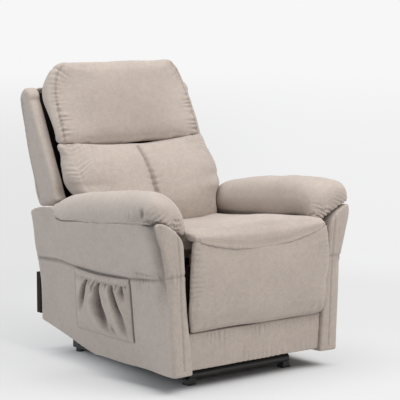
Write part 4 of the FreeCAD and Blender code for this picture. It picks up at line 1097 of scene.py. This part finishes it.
# %% Marks on the arms
PANEL_GRID = 0.0055
SIDE_SEAM = [(0.318, 0.370), (0.25, 0.372), (0.175, 0.374), (0.08, 0.368), (-0.06, 0.362), (-0.18, 0.366),
             (-0.295, 0.375), (-0.37, 0.383), (-0.425, 0.392)]
CORNER_SEAM = [(0.408, 0.397), (0.36, 0.400), (0.31, 0.402)]
FRONT_SEAM = [(0.352, 0.545), (0.340, 0.42), (0.330, 0.25), (0.322, 0.085)]
# Heights, and how far out the front band's edge is at each.
BORDER_EDGE = ((0.129, 0.231, 0.332, 0.432, 0.502, 0.542, 0.575),
               (0.373, 0.389, 0.400, 0.410, 0.424, 0.442, 0.452))
# Places along the chair, and how high the arm's top is at each.
SHOULDER = ((0.175, 0.200, 0.250, 0.290, 0.325), (0.574, 0.570, 0.562, 0.552, 0.540))
# Seams round the pocket: marks, depth and darkness of the painted shade along each.
POCKET_SEAMS = (([(-0.2385, 0.366), (-0.241, 0.26), (-0.2425, 0.150)], 0.0025, 0.95),
                ([(0.0885, 0.362), (0.094, 0.26), (0.0985, 0.154)], 0.001, 0.40),
                ([(0.09, 0.148), (-0.08, 0.146), (-0.235, 0.147)], 0.0008, 0.15))
print("marks along the side seam:", len(SIDE_SEAM))

# %% Shape the arm


def level_shoulder(cover, side):
    """Brings the top of the arm behind the pad to one gently falling line."""
    tree = surface_tree(cover)
    points = points_of(cover)
    levels = np.linspace(0.15, 0.325, 36)
    tops = [tree.ray_cast(Vector((side * 0.405, y, 1.0)), Vector((0, 0, -1)))[0].z for y in levels]
    top = np.interp(points[:, 1], levels, tops)
    rise = np.interp(points[:, 1], *SHOULDER) - top
    share = np.clip((points[:, 2] - top + 0.10) / 0.09, 0, 1) * step_up(points[:, 1], 0.150, 0.180)
    move(cover, rise * share, (0, 0, 1))


def shape_arm(cover, side):
    """Swells the waist at the rear, levels the shoulder and rounds the front outer corner."""
    points = points_of(cover)
    rear = step_up(points[:, 1], 0.18, 0.32)
    move(cover, rear * np.exp(-((points[:, 2] - 0.39) / 0.075) ** 2), (0, 0.018, 0))
    level_shoulder(cover, side)
    points = points_of(cover)
    shoulder = step_up(side * points[:, 0], 0.405, 0.435) * step_up(points[:, 1], -0.34, -0.41)
    move(cover, shoulder * step_up(points[:, 2], 0.545, 0.585), (-0.007 * side, 0, -0.011))


print("the shoulder falls from", SHOULDER[1][0], "to", SHOULDER[1][-1], "m")

# %% Front band and roll


def raise_band(cover, side):
    """A soft band down the front corner with painted shade just behind its edge, and a fuller roll over the
    side seam.
    """
    points = points_of(cover)
    outer = step_up(side * points[:, 0], 0.335, 0.355)
    round_corner = side * points[:, 0] + np.maximum(points[:, 1] + 0.455, 0)
    past = round_corner - np.interp(points[:, 2], *BORDER_EDGE)
    front_part = step_up(side * points[:, 0], 0.335, 0.352) * step_up(points[:, 1], -0.25, -0.33)
    crest = np.exp(-((past + 0.012) / 0.012) ** 2) * 0.0030
    valley = np.exp(-((past - 0.018) / 0.026) ** 2) * 0.0055
    push(cover, front_part * (crest - valley) * step_up(points[:, 2], 0.10, 0.30))
    # Painted shade: a dark band on the side panel just behind the front band's edge, strongest high up and
    # fading downwards.
    reach = np.where(past > 0, 0.040, 0.006)
    shaded = np.exp(-(past / reach) ** 2) * step_up(points[:, 2], 0.24, 0.46)
    shaded = shaded * step_up(points[:, 2], 0.60, 0.575)
    paint_crease_shade(cover, front_part * shaded * 0.68)
    roll = np.exp(-((points[:, 2] - 0.390) / 0.022) ** 2) * step_up(points[:, 1], -0.40, -0.16)
    roll *= step_up(points[:, 1], 0.30, 0.16)
    push(cover, outer * 0.006 * roll)


print("the band's edge runs from", BORDER_EDGE[0][0], "to", BORDER_EDGE[0][-1], "m high")

# %% Sew the arm


def sew_arm(cover, side, word):
    """The side seam, the corner seam, the front seam and the pocket's seams. Gives back the front seam."""
    look = word + "_side"
    line = lay_seam(cover, SIDE_SEAM, look)
    sew(cover, line, depth=0.0045, width=0.0055, dark=0.5)
    above = lambda places: step_up(places[:, 2], 0.366, 0.378)
    gather(cover, line, 0.035, 0.018, 0.0020, seed=52 + side, dark=0.10,
           side=lambda places: step_up(places[:, 1], -0.22, -0.27) * 1.2 + 0.35 * above(places))
    corner = lay_seam(cover, mirror_marks(CORNER_SEAM, side), "front")
    sew(cover, corner, depth=0.002, width=0.005, dark=0.25)
    gather(cover, corner, 0.03, 0.02, 0.0014, seed=55 + side)
    drop = lay_seam(cover, mirror_marks(FRONT_SEAM, side), "front")
    sew(cover, drop, depth=0.0016, width=0.004, dark=0.2)
    if word == "right":
        for marks, depth, dark in POCKET_SEAMS:
            sew(cover, lay_seam(cover, marks, look), depth=depth, width=0.0036, dark=dark)
    return drop


print("the right arm has", len(POCKET_SEAMS), "more seams, round its pocket")

# %% Arm panels


def dress_arm(side, word):
    """One arm's cover, from its cut form to its last stitch."""
    members = ["arm_cover_" + word, "arm_inner_" + word]
    cover = cut_from("arm_" + word + "_panels", members, PANEL_GRID, smooth=3)
    tighten(cover, members, 0.75)
    refine(cover)
    shape_arm(cover, side)
    raise_band(cover, side)
    drop = sew_arm(cover, side, word)
    slack(cover, 0.25, 0.0018, seed=58 + side)
    finish_soft(cover, "chair", members)
    stitch("arm_" + word + "_front_stitches", cover, drop, "chair")
    return cover


arm_covers = {word: dress_arm(side, word) for side, word in SIDES}

# %% [markdown]
# A narrow strip of black lining stands beside each end of the footrest board, behind the pad. It hides
# the mechanism in the running gap, and its near-black cloth is painted shade for the gap. It could hang
# on the arm, but then the folding links would cut through it, so it travels with the board. It is an
# upright strip with rounded edges.

# %% Gap strips
STRIP_SIZE = (0.0175, 0.0080, 0.215)
STRIP_PLACE = (0.2733, -0.4115, 0.3145)

for side, word in SIDES:
    block = bmesh.new()
    bmesh.ops.create_cube(block, size=1.0)
    bmesh.ops.scale(block, vec=STRIP_SIZE, verts=block.verts)
    bmesh.ops.translate(block, vec=(side * STRIP_PLACE[0], *STRIP_PLACE[1:]), verts=block.verts)
    bmesh.ops.bevel(block, geom=block.edges[:], offset=0.002, segments=2, affect="EDGES", profile=0.5)
    strip_mesh = bpy.data.meshes.new("gap_strip_" + word)
    block.to_mesh(strip_mesh)
    block.free()
    strip = bpy.data.objects.new("gap_strip_" + word, strip_mesh)
    scene.collection.objects.link(strip)
    strip_mesh.materials.append(lining_cloth)
    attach(strip, "footrest")
print("gap strips stand behind the pad's ends")

# %% [markdown]
# The pads are stuffed hardest in the middle and sewn short round the front, so the cloth fans out
# in folds from the seam that it hangs over. Smaller folds run up from the side seam and the rear end.
# A simulation with gravity could make the nose hang, but it would also slide the pad off the arm. So
# the filling is simulated, and the hang is a smooth move of the front end.

# %% Marks on the arm pads
PAD_GRID = 0.0065
NOSE_SEAM = [(0.286, -0.452, 0.500), (0.292, -0.455, 0.530), (0.305, -0.460, 0.557), (0.328, -0.462, 0.577),
             (0.360, -0.463, 0.590), (0.395, -0.455, 0.596), (0.425, -0.437, 0.596), (0.437, -0.40, 0.588)]
PAD_SIDE_SEAM = [(0.437, -0.40, 0.588), (0.433, -0.30, 0.571), (0.428, -0.153, 0.553), (0.427, 0.0, 0.540),
                 (0.425, 0.1, 0.533), (0.424, 0.168, 0.538), (0.41, 0.215, 0.548)]
PAD_REAR_SEAM = [(0.43, 0.20, 0.550), (0.40, 0.219, 0.560), (0.35, 0.220, 0.558), (0.30, 0.216, 0.53)]
PAD_SEAMS = (NOSE_SEAM, PAD_SIDE_SEAM, PAD_REAR_SEAM)
PAD_TUCK = [(0.438, -0.388, 0.590), (0.434, -0.38, 0.607), (0.427, -0.373, 0.623)]


def mirror_places(places, side):
    """Places in space, on one side of the chair."""
    return [(side * x, y, z) for x, y, z in places]


def droop(places):
    """The nose hangs a little lower and further back than its cut form."""
    moved = np.array(places, float)
    reach = np.clip((-0.27 - moved[:, 1]) / 0.19, 0, 1.1) ** 2
    outward = step_up(np.abs(moved[:, 0]), 0.330, 0.425)
    sag = 0.0035 * np.exp(-((moved[:, 1] + 0.15) / 0.15) ** 2)
    moved[:, 2] -= 0.033 * reach * (1 - 0.80 * outward) + sag
    moved[:, 1] += 0.038 * reach * (1 - 0.38 * outward)
    inner = step_up(np.abs(moved[:, 0]), 0.33, 0.28) * np.clip((-0.36 - moved[:, 1]) / 0.07, 0, 1)
    moved[:, 2] -= 0.010 * inner
    rear = step_up(moved[:, 1], 0.10, 0.22) * step_up(np.abs(moved[:, 0]), 0.365, 0.40)
    moved[:, 1] += 0.020 * rear
    return moved


print("marks round a pad:", sum(len(marks) for marks in PAD_SEAMS))

# %% Arm pads


def dress_pad(side, word):
    """One arm's pad: stuffed, hung over the front and sewn short round it."""
    pillow = cut_from("arm_" + word + "_pillow", ["arm_pad_" + word], PAD_GRID)
    seams = [snap_seam(pillow, mirror_places(marks, side)) for marks in PAD_SEAMS]
    stuff(pillow, 3.0, 0.012, seams, slim=0.003, grow=0.015)
    tighten(pillow, ["arm_pad_" + word], 0.6)
    refine(pillow)
    set_points(pillow, droop(points_of(pillow)))
    nose, flank, rear = [snap_seam(pillow, droop(mirror_places(marks, side))) for marks in PAD_SEAMS]
    gather(pillow, nose, 0.046, 0.016, 0.0036, seed=61 + side, lean=0.75, dark=0.35)
    gather(pillow, nose, 0.022, 0.010, 0.0014, seed=67 + side, lean=0.5, dark=0.30)
    sew(pillow, nose, depth=0.002, width=0.006, dark=0.5)
    gather(pillow, flank, 0.042, 0.013, 0.0014, seed=63 + side, dark=0.2,
           side=lambda places: 0.45 + 1.6 * np.exp(-((places[:, 1] + 0.33) / 0.06) ** 2))
    gather(pillow, rear, 0.040, 0.018, 0.0032, seed=71 + side, dark=0.4)
    tuck = snap_seam(pillow, mirror_places(PAD_TUCK, side))
    sew(pillow, tuck, depth=0.007, width=0.011, dark=0.65, taper=True)
    slack(pillow, 0.14, 0.002, seed=65 + side)
    finish_soft(pillow, "chair", ["arm_pad_" + word])


for side, word in SIDES:
    dress_pad(side, word)

# %% [markdown]
# The back shell is one padded board with two wings that stand forward. Its cloth is pulled tight, so
# it needs no stuffing. A seam runs round each wing behind its rounded front edge. The frame's own
# form could be shown with a cloth finish, but its edges are machine-straight. So it gets a cover whose
# wings are drawn back a little, and whose cloth is slightly uneven.

# %% Marks on the back shell
SHELL_GRID = 0.006
# Heights, and how far back the wing's front edge is at each.
WING_FRONT = ((0.596, 0.620, 0.707, 0.776, 0.846, 0.923, 0.977),
              (0.221, 0.234, 0.271, 0.315, 0.345, 0.385, 0.400))
WING_SEAM = [(0.350, 0.585), (0.405, 0.72), (0.440, 0.84), (0.452, 0.93)]
# How far out and how high the shell's front is given near-black cloth as painted shade.
PAINTED_SHADE_HALF = 0.317
PAINTED_SHADE_TOP = 0.955
print("marks along a wing:", len(WING_SEAM))

# %% Back shell
shell = cut_from("back_shell_cover", ["back_shell"], SHELL_GRID, smooth=5)
tighten(shell, ["back_shell"], 0.7)
refine(shell)
points = points_of(shell)
behind = points[:, 1] - np.interp(points[:, 2], *WING_FRONT)
on_wing = step_up(np.abs(points[:, 0]), 0.30, 0.325)
wing = on_wing * np.exp(-(np.maximum(behind, 0) / 0.055) ** 2)
move(shell, wing, (0, 0.013, 0))
move(shell, on_wing * step_up(points[:, 2], 0.90, 0.97), (0, -0.003, -0.006))
foot = step_up(points[:, 2], 0.66, 0.60) * step_up(points[:, 2], 0.54, 0.57)
foot = step_up(np.abs(points[:, 0]), 0.31, 0.33) * foot
move(shell, foot, (0, 0.008, -0.007))
slack(shell, 0.22, 0.002, seed=71)
for side, word in SIDES:
    rear_edge = lay_seam(shell, WING_SEAM, word + "_side")
    sew(shell, rear_edge, depth=0.0022, width=0.005, dark=0.3)
    gather(shell, rear_edge, 0.02, 0.022, 0.0009, seed=74 + side)
across = lay_seam(shell, [(-0.30, 0.60), (0.0, 0.60), (0.30, 0.60)], "back")
sew(shell, across, depth=0.002, width=0.005, dark=0.3)
finish_soft(shell, "backrest", ["back_shell"])
# Painted shade: the shell's front between the wings, hidden deep behind the cushions, takes the near-black
# lining cloth.
shell.data.materials.append(lining_cloth)
for face in shell.data.polygons:
    if abs(face.center.x) < PAINTED_SHADE_HALF and face.normal.y < -0.3 and face.center.z < PAINTED_SHADE_TOP:
        face.material_index = 1
above_across = lay_seam(shell, [(-0.29, 0.607), (0.0, 0.607), (0.29, 0.607)], "back")
stitch("back_stitches", shell, above_across, "backrest")

# %% [markdown]
# The side pocket is loose cloth with an elastic hem. The elastic draws a wide cut into a narrow
# mouth, so deep folds leave the hem, widen, and die out at the sewn bottom. A simulation would find
# folds of its own, but not where the picture shows them. So the cloth is drawn as a grid: across it
# runs one share, down it another, and each fold is a valley between two marks.

# %% Marks on the side pocket
POCKET_FRONT, POCKET_REAR = -0.236, 0.086
POCKET_BOTTOM = 0.150
POCKET_SLANT, POCKET_SPREAD = 0.010, 0.014
HEM_DROP = 0.0025
POCKET_BAND = 0.095
POCKET_ROOM = 0.027
POCKET_FOLDS = [  # down shares, across shares, half widths in mm, depths in mm
    ((0.12, 0.27, 0.45, 0.72), (0.300, 0.258, 0.195, 0.105), (8, 11, 14, 18), (10, 18, 13, 0)),
    ((0.12, 0.20, 0.34), (0.445, 0.430, 0.395), (6, 8, 9), (12, 12, 0)),
    ((0.12, 0.26, 0.47, 0.66, 0.84, 1.0), (0.540, 0.518, 0.492, 0.528, 0.575, 0.62), (8, 13, 25, 29, 24, 18),
     (16, 25, 23, 17, 8, 0)),
    ((0.12, 0.23, 0.37, 0.50, 0.63, 0.80, 0.98), (0.755, 0.775, 0.795, 0.820, 0.855, 0.880, 0.91),
     (8, 11, 12, 13, 15, 15, 12), (13, 20, 18, 14, 10, 8, 0)),
    ((0.12, 0.22, 0.38), (0.905, 0.905, 0.930), (6, 8, 9), (10, 12, 0)),
    ((0.74, 0.86, 0.98), (0.700, 0.712, 0.72), (6, 11, 8), (0, 8, 0)),
    ((0.11, 0.20), (0.075, 0.08), (4, 4), (4, 0)), ((0.11, 0.20), (0.145, 0.14), (3, 4), (5, 0)),
    ((0.11, 0.21), (0.205, 0.20), (4, 4), (6, 0)), ((0.11, 0.20), (0.370, 0.365), (3, 4), (5, 0)),
    ((0.11, 0.19), (0.610, 0.612), (3, 4), (6, 0)), ((0.11, 0.21), (0.655, 0.66), (4, 5), (8, 0)),
    ((0.11, 0.20), (0.700, 0.70), (3, 4), (5, 0)), ((0.11, 0.20), (0.840, 0.84), (3, 4), (6, 0)),
    ((0.11, 0.20), (0.955, 0.955), (3, 4), (5, 0)),
]
print("pocket folds:", len(POCKET_FOLDS))

# %% Shape of one fold


def fold_shape(fold, across, down, length):
    """How deep one pocket fold is at each place, and how near each place is to its middle."""
    downs, middles, widths, depths = fold
    middle = np.interp(down, downs, middles)
    width = np.interp(down, downs, widths) / 1000
    depth = np.interp(down, downs, depths, left=0, right=0) / 1000
    offset = (across - middle) * length
    near = np.exp(-(np.abs(offset) / width) ** 2.4)
    banks = np.exp(-((np.abs(offset) - 1.7 * width) / (0.8 * width)) ** 2)
    return depth * (near - 0.28 * banks), near * np.clip(depth / 0.016, 0, 1)


print("a fold is a valley between two low banks")

# %% How far the pocket stands off the arm
across_count, down_count = 190, 90
across_share, down_share = np.meshgrid(np.linspace(0, 1, across_count), np.linspace(0, 1, down_count))
arm_tree = surface_tree(arm_covers["right"])
wide = POCKET_REAR - POCKET_FRONT
pocket_y = POCKET_REAR + POCKET_SLANT * down_share - (wide + POCKET_SPREAD * down_share) * across_share
seam_y, seam_z = np.array(sorted(SIDE_SEAM)).T
mouth_z = np.interp(pocket_y, seam_y, seam_z) - HEM_DROP
pocket_z = mouth_z + (POCKET_BOTTOM - mouth_z) * down_share
away_from_ends = np.clip(1 - np.abs(2 * across_share - 1) ** 5, 0, 1)
fullness = np.clip(np.sin((1 - down_share) * math.pi * 0.5 + 0.12), 0, 1) ** 0.45
mouth = 0.25 + 0.75 * step_up(down_share, -0.05, 0.22)
room = 0.0015 + POCKET_ROOM * away_from_ends * fullness * mouth * step_up(down_share, 1.0, 0.86)
fold_sum = sum(fold_shape(fold, across_share, down_share, wide)[0] for fold in POCKET_FOLDS)
run_across = across_share * wide
uneven = ripple(run_across.ravel(), 0.05, 81).reshape(run_across.shape)
pleats = np.cos(2 * math.pi * (run_across / 0.0125 + 0.4 * uneven))
near_band = np.exp(-((down_share - POCKET_BAND - 0.03) / 0.055) ** 2)
on_band = step_up(down_share, POCKET_BAND + 0.015, POCKET_BAND - 0.015)
room = room - np.minimum(fold_sum, room - 0.002) + 0.0020 * pleats * near_band * away_from_ends
room = room + 0.0030 * on_band * away_from_ends + 0.0005 * pleats * on_band
print("the pocket stands off the arm by up to", round(float(room.max()) * 1000), "mm")

# %% Cloth of the side pocket


def grid_faces(across, down):
    """The faces between the points of a grid that runs across first and then down."""
    faces = []
    for j in range(down - 1):
        for i in range(across - 1):
            a = j * across + i
            faces.append((a, a + 1, a + across + 1, a + across))
    return faces


points = []
for y, z, out in zip(pocket_y.ravel(), pocket_z.ravel(), room.ravel()):
    place = arm_tree.ray_cast(Vector((-1.0, y, z)), Vector((1, 0, 0)))[0]
    points.append((place.x - max(out, 0.0012), y, z))
pocket_mesh = bpy.data.meshes.new("side_pocket_cloth")
pocket_mesh.from_pydata(points, [], grid_faces(across_count, down_count))
pocket = bpy.data.objects.new("side_pocket_cloth", pocket_mesh)
scene.collection.objects.link(pocket)
thickness = pocket.modifiers.new("thickness", "SOLIDIFY")
thickness.thickness = 0.0018
thickness.offset = 1.0
settle(pocket)
print("pocket points:", len(pocket.data.vertices))

# %% Shade and finish of the side pocket
paint_crease_shade(pocket, np.zeros(len(pocket.data.vertices)))
pocket_points = points_of(pocket)
top_here = np.interp(pocket_points[:, 1], seam_y, seam_z) - HEM_DROP
drop_share = np.clip((top_here - pocket_points[:, 2]) / (top_here - POCKET_BOTTOM), 0, 1)
from_rear = POCKET_REAR + POCKET_SLANT * drop_share - pocket_points[:, 1]
side_share = np.clip(from_rear / (wide + POCKET_SPREAD * drop_share), 0, 1)
# Painted shade in the valley of each fold, darker where the fold is deeper.
shade = np.zeros(len(pocket_points))
for fold in POCKET_FOLDS:
    shade = np.maximum(shade, fold_shape(fold, side_share, drop_share, wide)[1])
paint_crease_shade(pocket, shade * 1.15)
finish_soft(pocket, "chair", ["side_pocket"])
band_line = np.array([points[int(POCKET_BAND * down_count) * across_count + i] for i in range(across_count)])
stitch("pocket_hem_stitches", pocket, band_line, "chair", spacing=0.006, length=0.004, radius=0.0005)

# %% [markdown]
# A black cloth flap hangs from the rear cover down to the base, and hides the mechanism from
# behind. Its black also stands in for the shade under the chair, seen through the gaps below the seat.
# It could be simulated, but it is short and nearly hidden, so one sheet with slow waves does.
# The waves grow downwards, because nothing stretches the flap at the bottom.

# %% Rear flap
FLAP_HALF, FLAP_TOP, FLAP_BOTTOM, FLAP_Y = 0.300, 0.172, 0.102, 0.3405
FLAP_ACROSS, FLAP_DOWN = 121, 25
flap_across, flap_down = np.meshgrid(np.linspace(-1, 1, FLAP_ACROSS), np.linspace(0, 1, FLAP_DOWN))
wave = 0.0016 * np.sin(flap_across * 23) + 0.0012 * np.sin(flap_across * 41 + 1.0)
flap_x = FLAP_HALF * flap_across
flap_y = FLAP_Y + wave * flap_down
flap_z = FLAP_TOP + (FLAP_BOTTOM - FLAP_TOP) * flap_down
flap_points = np.column_stack([flap_x.ravel(), flap_y.ravel(), flap_z.ravel()])
flap_mesh = bpy.data.meshes.new("rear_flap_cloth")
flap_mesh.from_pydata([tuple(p) for p in flap_points], [], grid_faces(FLAP_ACROSS, FLAP_DOWN))
flap = bpy.data.objects.new("rear_flap_cloth", flap_mesh)
scene.collection.objects.link(flap)
thickness = flap.modifiers.new("thickness", "SOLIDIFY")
thickness.thickness = 0.0012
settle(flap)
flap.data.materials.append(lining_cloth)
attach(flap, "chair")
print("rear flap:", len(flap.data.polygons), "faces")

# %% [markdown]
# The floor is a plain pale sweep that keeps the chair's shadow. A studio would hang a curved sheet of
# paper. Here one flat sheet does it: under the chair it is lit like any floor, and further off the
# camera sees a glow in the backdrop's own colours, so no horizon shows. Round the chair's edges, and
# further in under its left side, part of that glow is mixed in as painted light, so the chair's shadow
# there is paler than the lamps make it. Only the camera sees the glow, so it throws no light on the chair.

# %% Floor sheet
FLOOR_HALF = 80
floor_mesh = bpy.data.meshes.new("floor")
floor_corners = [(FLOOR_HALF * x, FLOOR_HALF * y, 0) for x, y in ((-1, -1), (1, -1), (1, 1), (-1, 1))]
floor_mesh.from_pydata(floor_corners, [], [(0, 1, 2, 3)])
floor = bpy.data.objects.new("floor", floor_mesh)
scene.collection.objects.link(floor)
floor_material = bpy.data.materials.new("floor_paint")
floor_material.use_nodes = True
tree = floor_material.node_tree
tree.nodes.clear()
out = tree.nodes.new("ShaderNodeOutputMaterial")
paint = tree.nodes.new("ShaderNodeBsdfDiffuse")
paint.inputs["Color"].default_value = FLOOR_COLOUR
far = tree.nodes.new("ShaderNodeEmission")
coords = tree.nodes.new("ShaderNodeTexCoord")
length = tree.nodes.new("ShaderNodeVectorMath")
length.operation = "LENGTH"
tree.links.new(coords.outputs["Object"], length.inputs[0])
distance = length.outputs["Value"]
print("the floor is", 2 * FLOOR_HALF, "m wide")

# %% Colours of the far floor
PICTURE_RIGHT = (0.786, -0.618)


def smooth_between(tree, value, low, high):
    """A smooth rise from 0 to 1 as a value goes from low to high."""
    node = tree.nodes.new("ShaderNodeMapRange")
    node.interpolation_type = "SMOOTHSTEP"
    node.inputs["From Min"].default_value = low
    node.inputs["From Max"].default_value = high
    tree.links.new(value, node.inputs["Value"])
    return node.outputs["Result"]


sides = tree.nodes.new("ShaderNodeSeparateXYZ")
tree.links.new(coords.outputs["Object"], sides.inputs[0])
across = math_node(tree, "ADD", math_node(tree, "MULTIPLY", sides.outputs[0], PICTURE_RIGHT[0]),
                   math_node(tree, "MULTIPLY", sides.outputs[1], PICTURE_RIGHT[1]))
turned = math_node(tree, "DIVIDE", across, math_node(tree, "ADD", distance, 0.5))
low_colour = mix_colour(tree, smooth_between(tree, turned, -0.10, 0.14), BACKDROP_LOW, BACKDROP_RIGHT)
low_colour = mix_colour(tree, smooth_between(tree, distance, 0.9, 2.2), NEAR_FLOOR, low_colour)
far_colour = mix_colour(tree, smooth_between(tree, distance, 2.0, 22.0), low_colour, BACKDROP_HIGH)
tree.links.new(far_colour, far.inputs["Color"])
print("far floor joined to the backdrop's colours")

# %% Where the floor glows
CHAIR_HALF_WIDTH, CHAIR_HALF_DEPTH = 0.42, 0.47
path = tree.nodes.new("ShaderNodeLightPath")
reach_x = math_node(tree, "DIVIDE", math_node(tree, "ABSOLUTE", sides.outputs[0]), CHAIR_HALF_WIDTH)
reach_y = math_node(tree, "DIVIDE", math_node(tree, "ABSOLUTE", sides.outputs[1]), CHAIR_HALF_DEPTH)
# Painted light: outside the chair's footprint, and under its left edge, part of the camera-only glow is mixed
# in, so the floor's shadow is paler.
beside = smooth_between(tree, math_node(tree, "MAXIMUM", reach_x, reach_y), 0.74, 1.00)
left_reach = math_node(tree, "DIVIDE", sides.outputs[0], -CHAIR_HALF_WIDTH)
left_light = math_node(tree, "MULTIPLY", smooth_between(tree, left_reach, 0.42, 0.95),
                       smooth_between(tree, sides.outputs[1], -0.35, 0.25))
around = math_node(tree, "MAXIMUM", math_node(tree, "MULTIPLY", beside, 0.57),
                   math_node(tree, "MULTIPLY", left_light, 0.80))
glow = math_node(tree, "MAXIMUM", around, smooth_between(tree, distance, 0.75, 2.4))
share = math_node(tree, "MULTIPLY", glow, path.outputs["Is Camera Ray"])
blend = tree.nodes.new("ShaderNodeMixShader")
tree.links.new(share, blend.inputs["Fac"])
tree.links.new(paint.outputs[0], blend.inputs[1])
tree.links.new(far.outputs[0], blend.inputs[2])
tree.links.new(blend.outputs[0], out.inputs["Surface"])
floor.data.materials.append(floor_material)
floor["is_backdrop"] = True
print("stage:", floor.name)

# %% [markdown]
# Last, the box of the dressed chair is printed. Padding may stand a little proud of the frame.

# %% Print the dressed chair's box and finish
low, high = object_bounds()
print("visual box", [round(v, 3) for v in (*low, *high)])
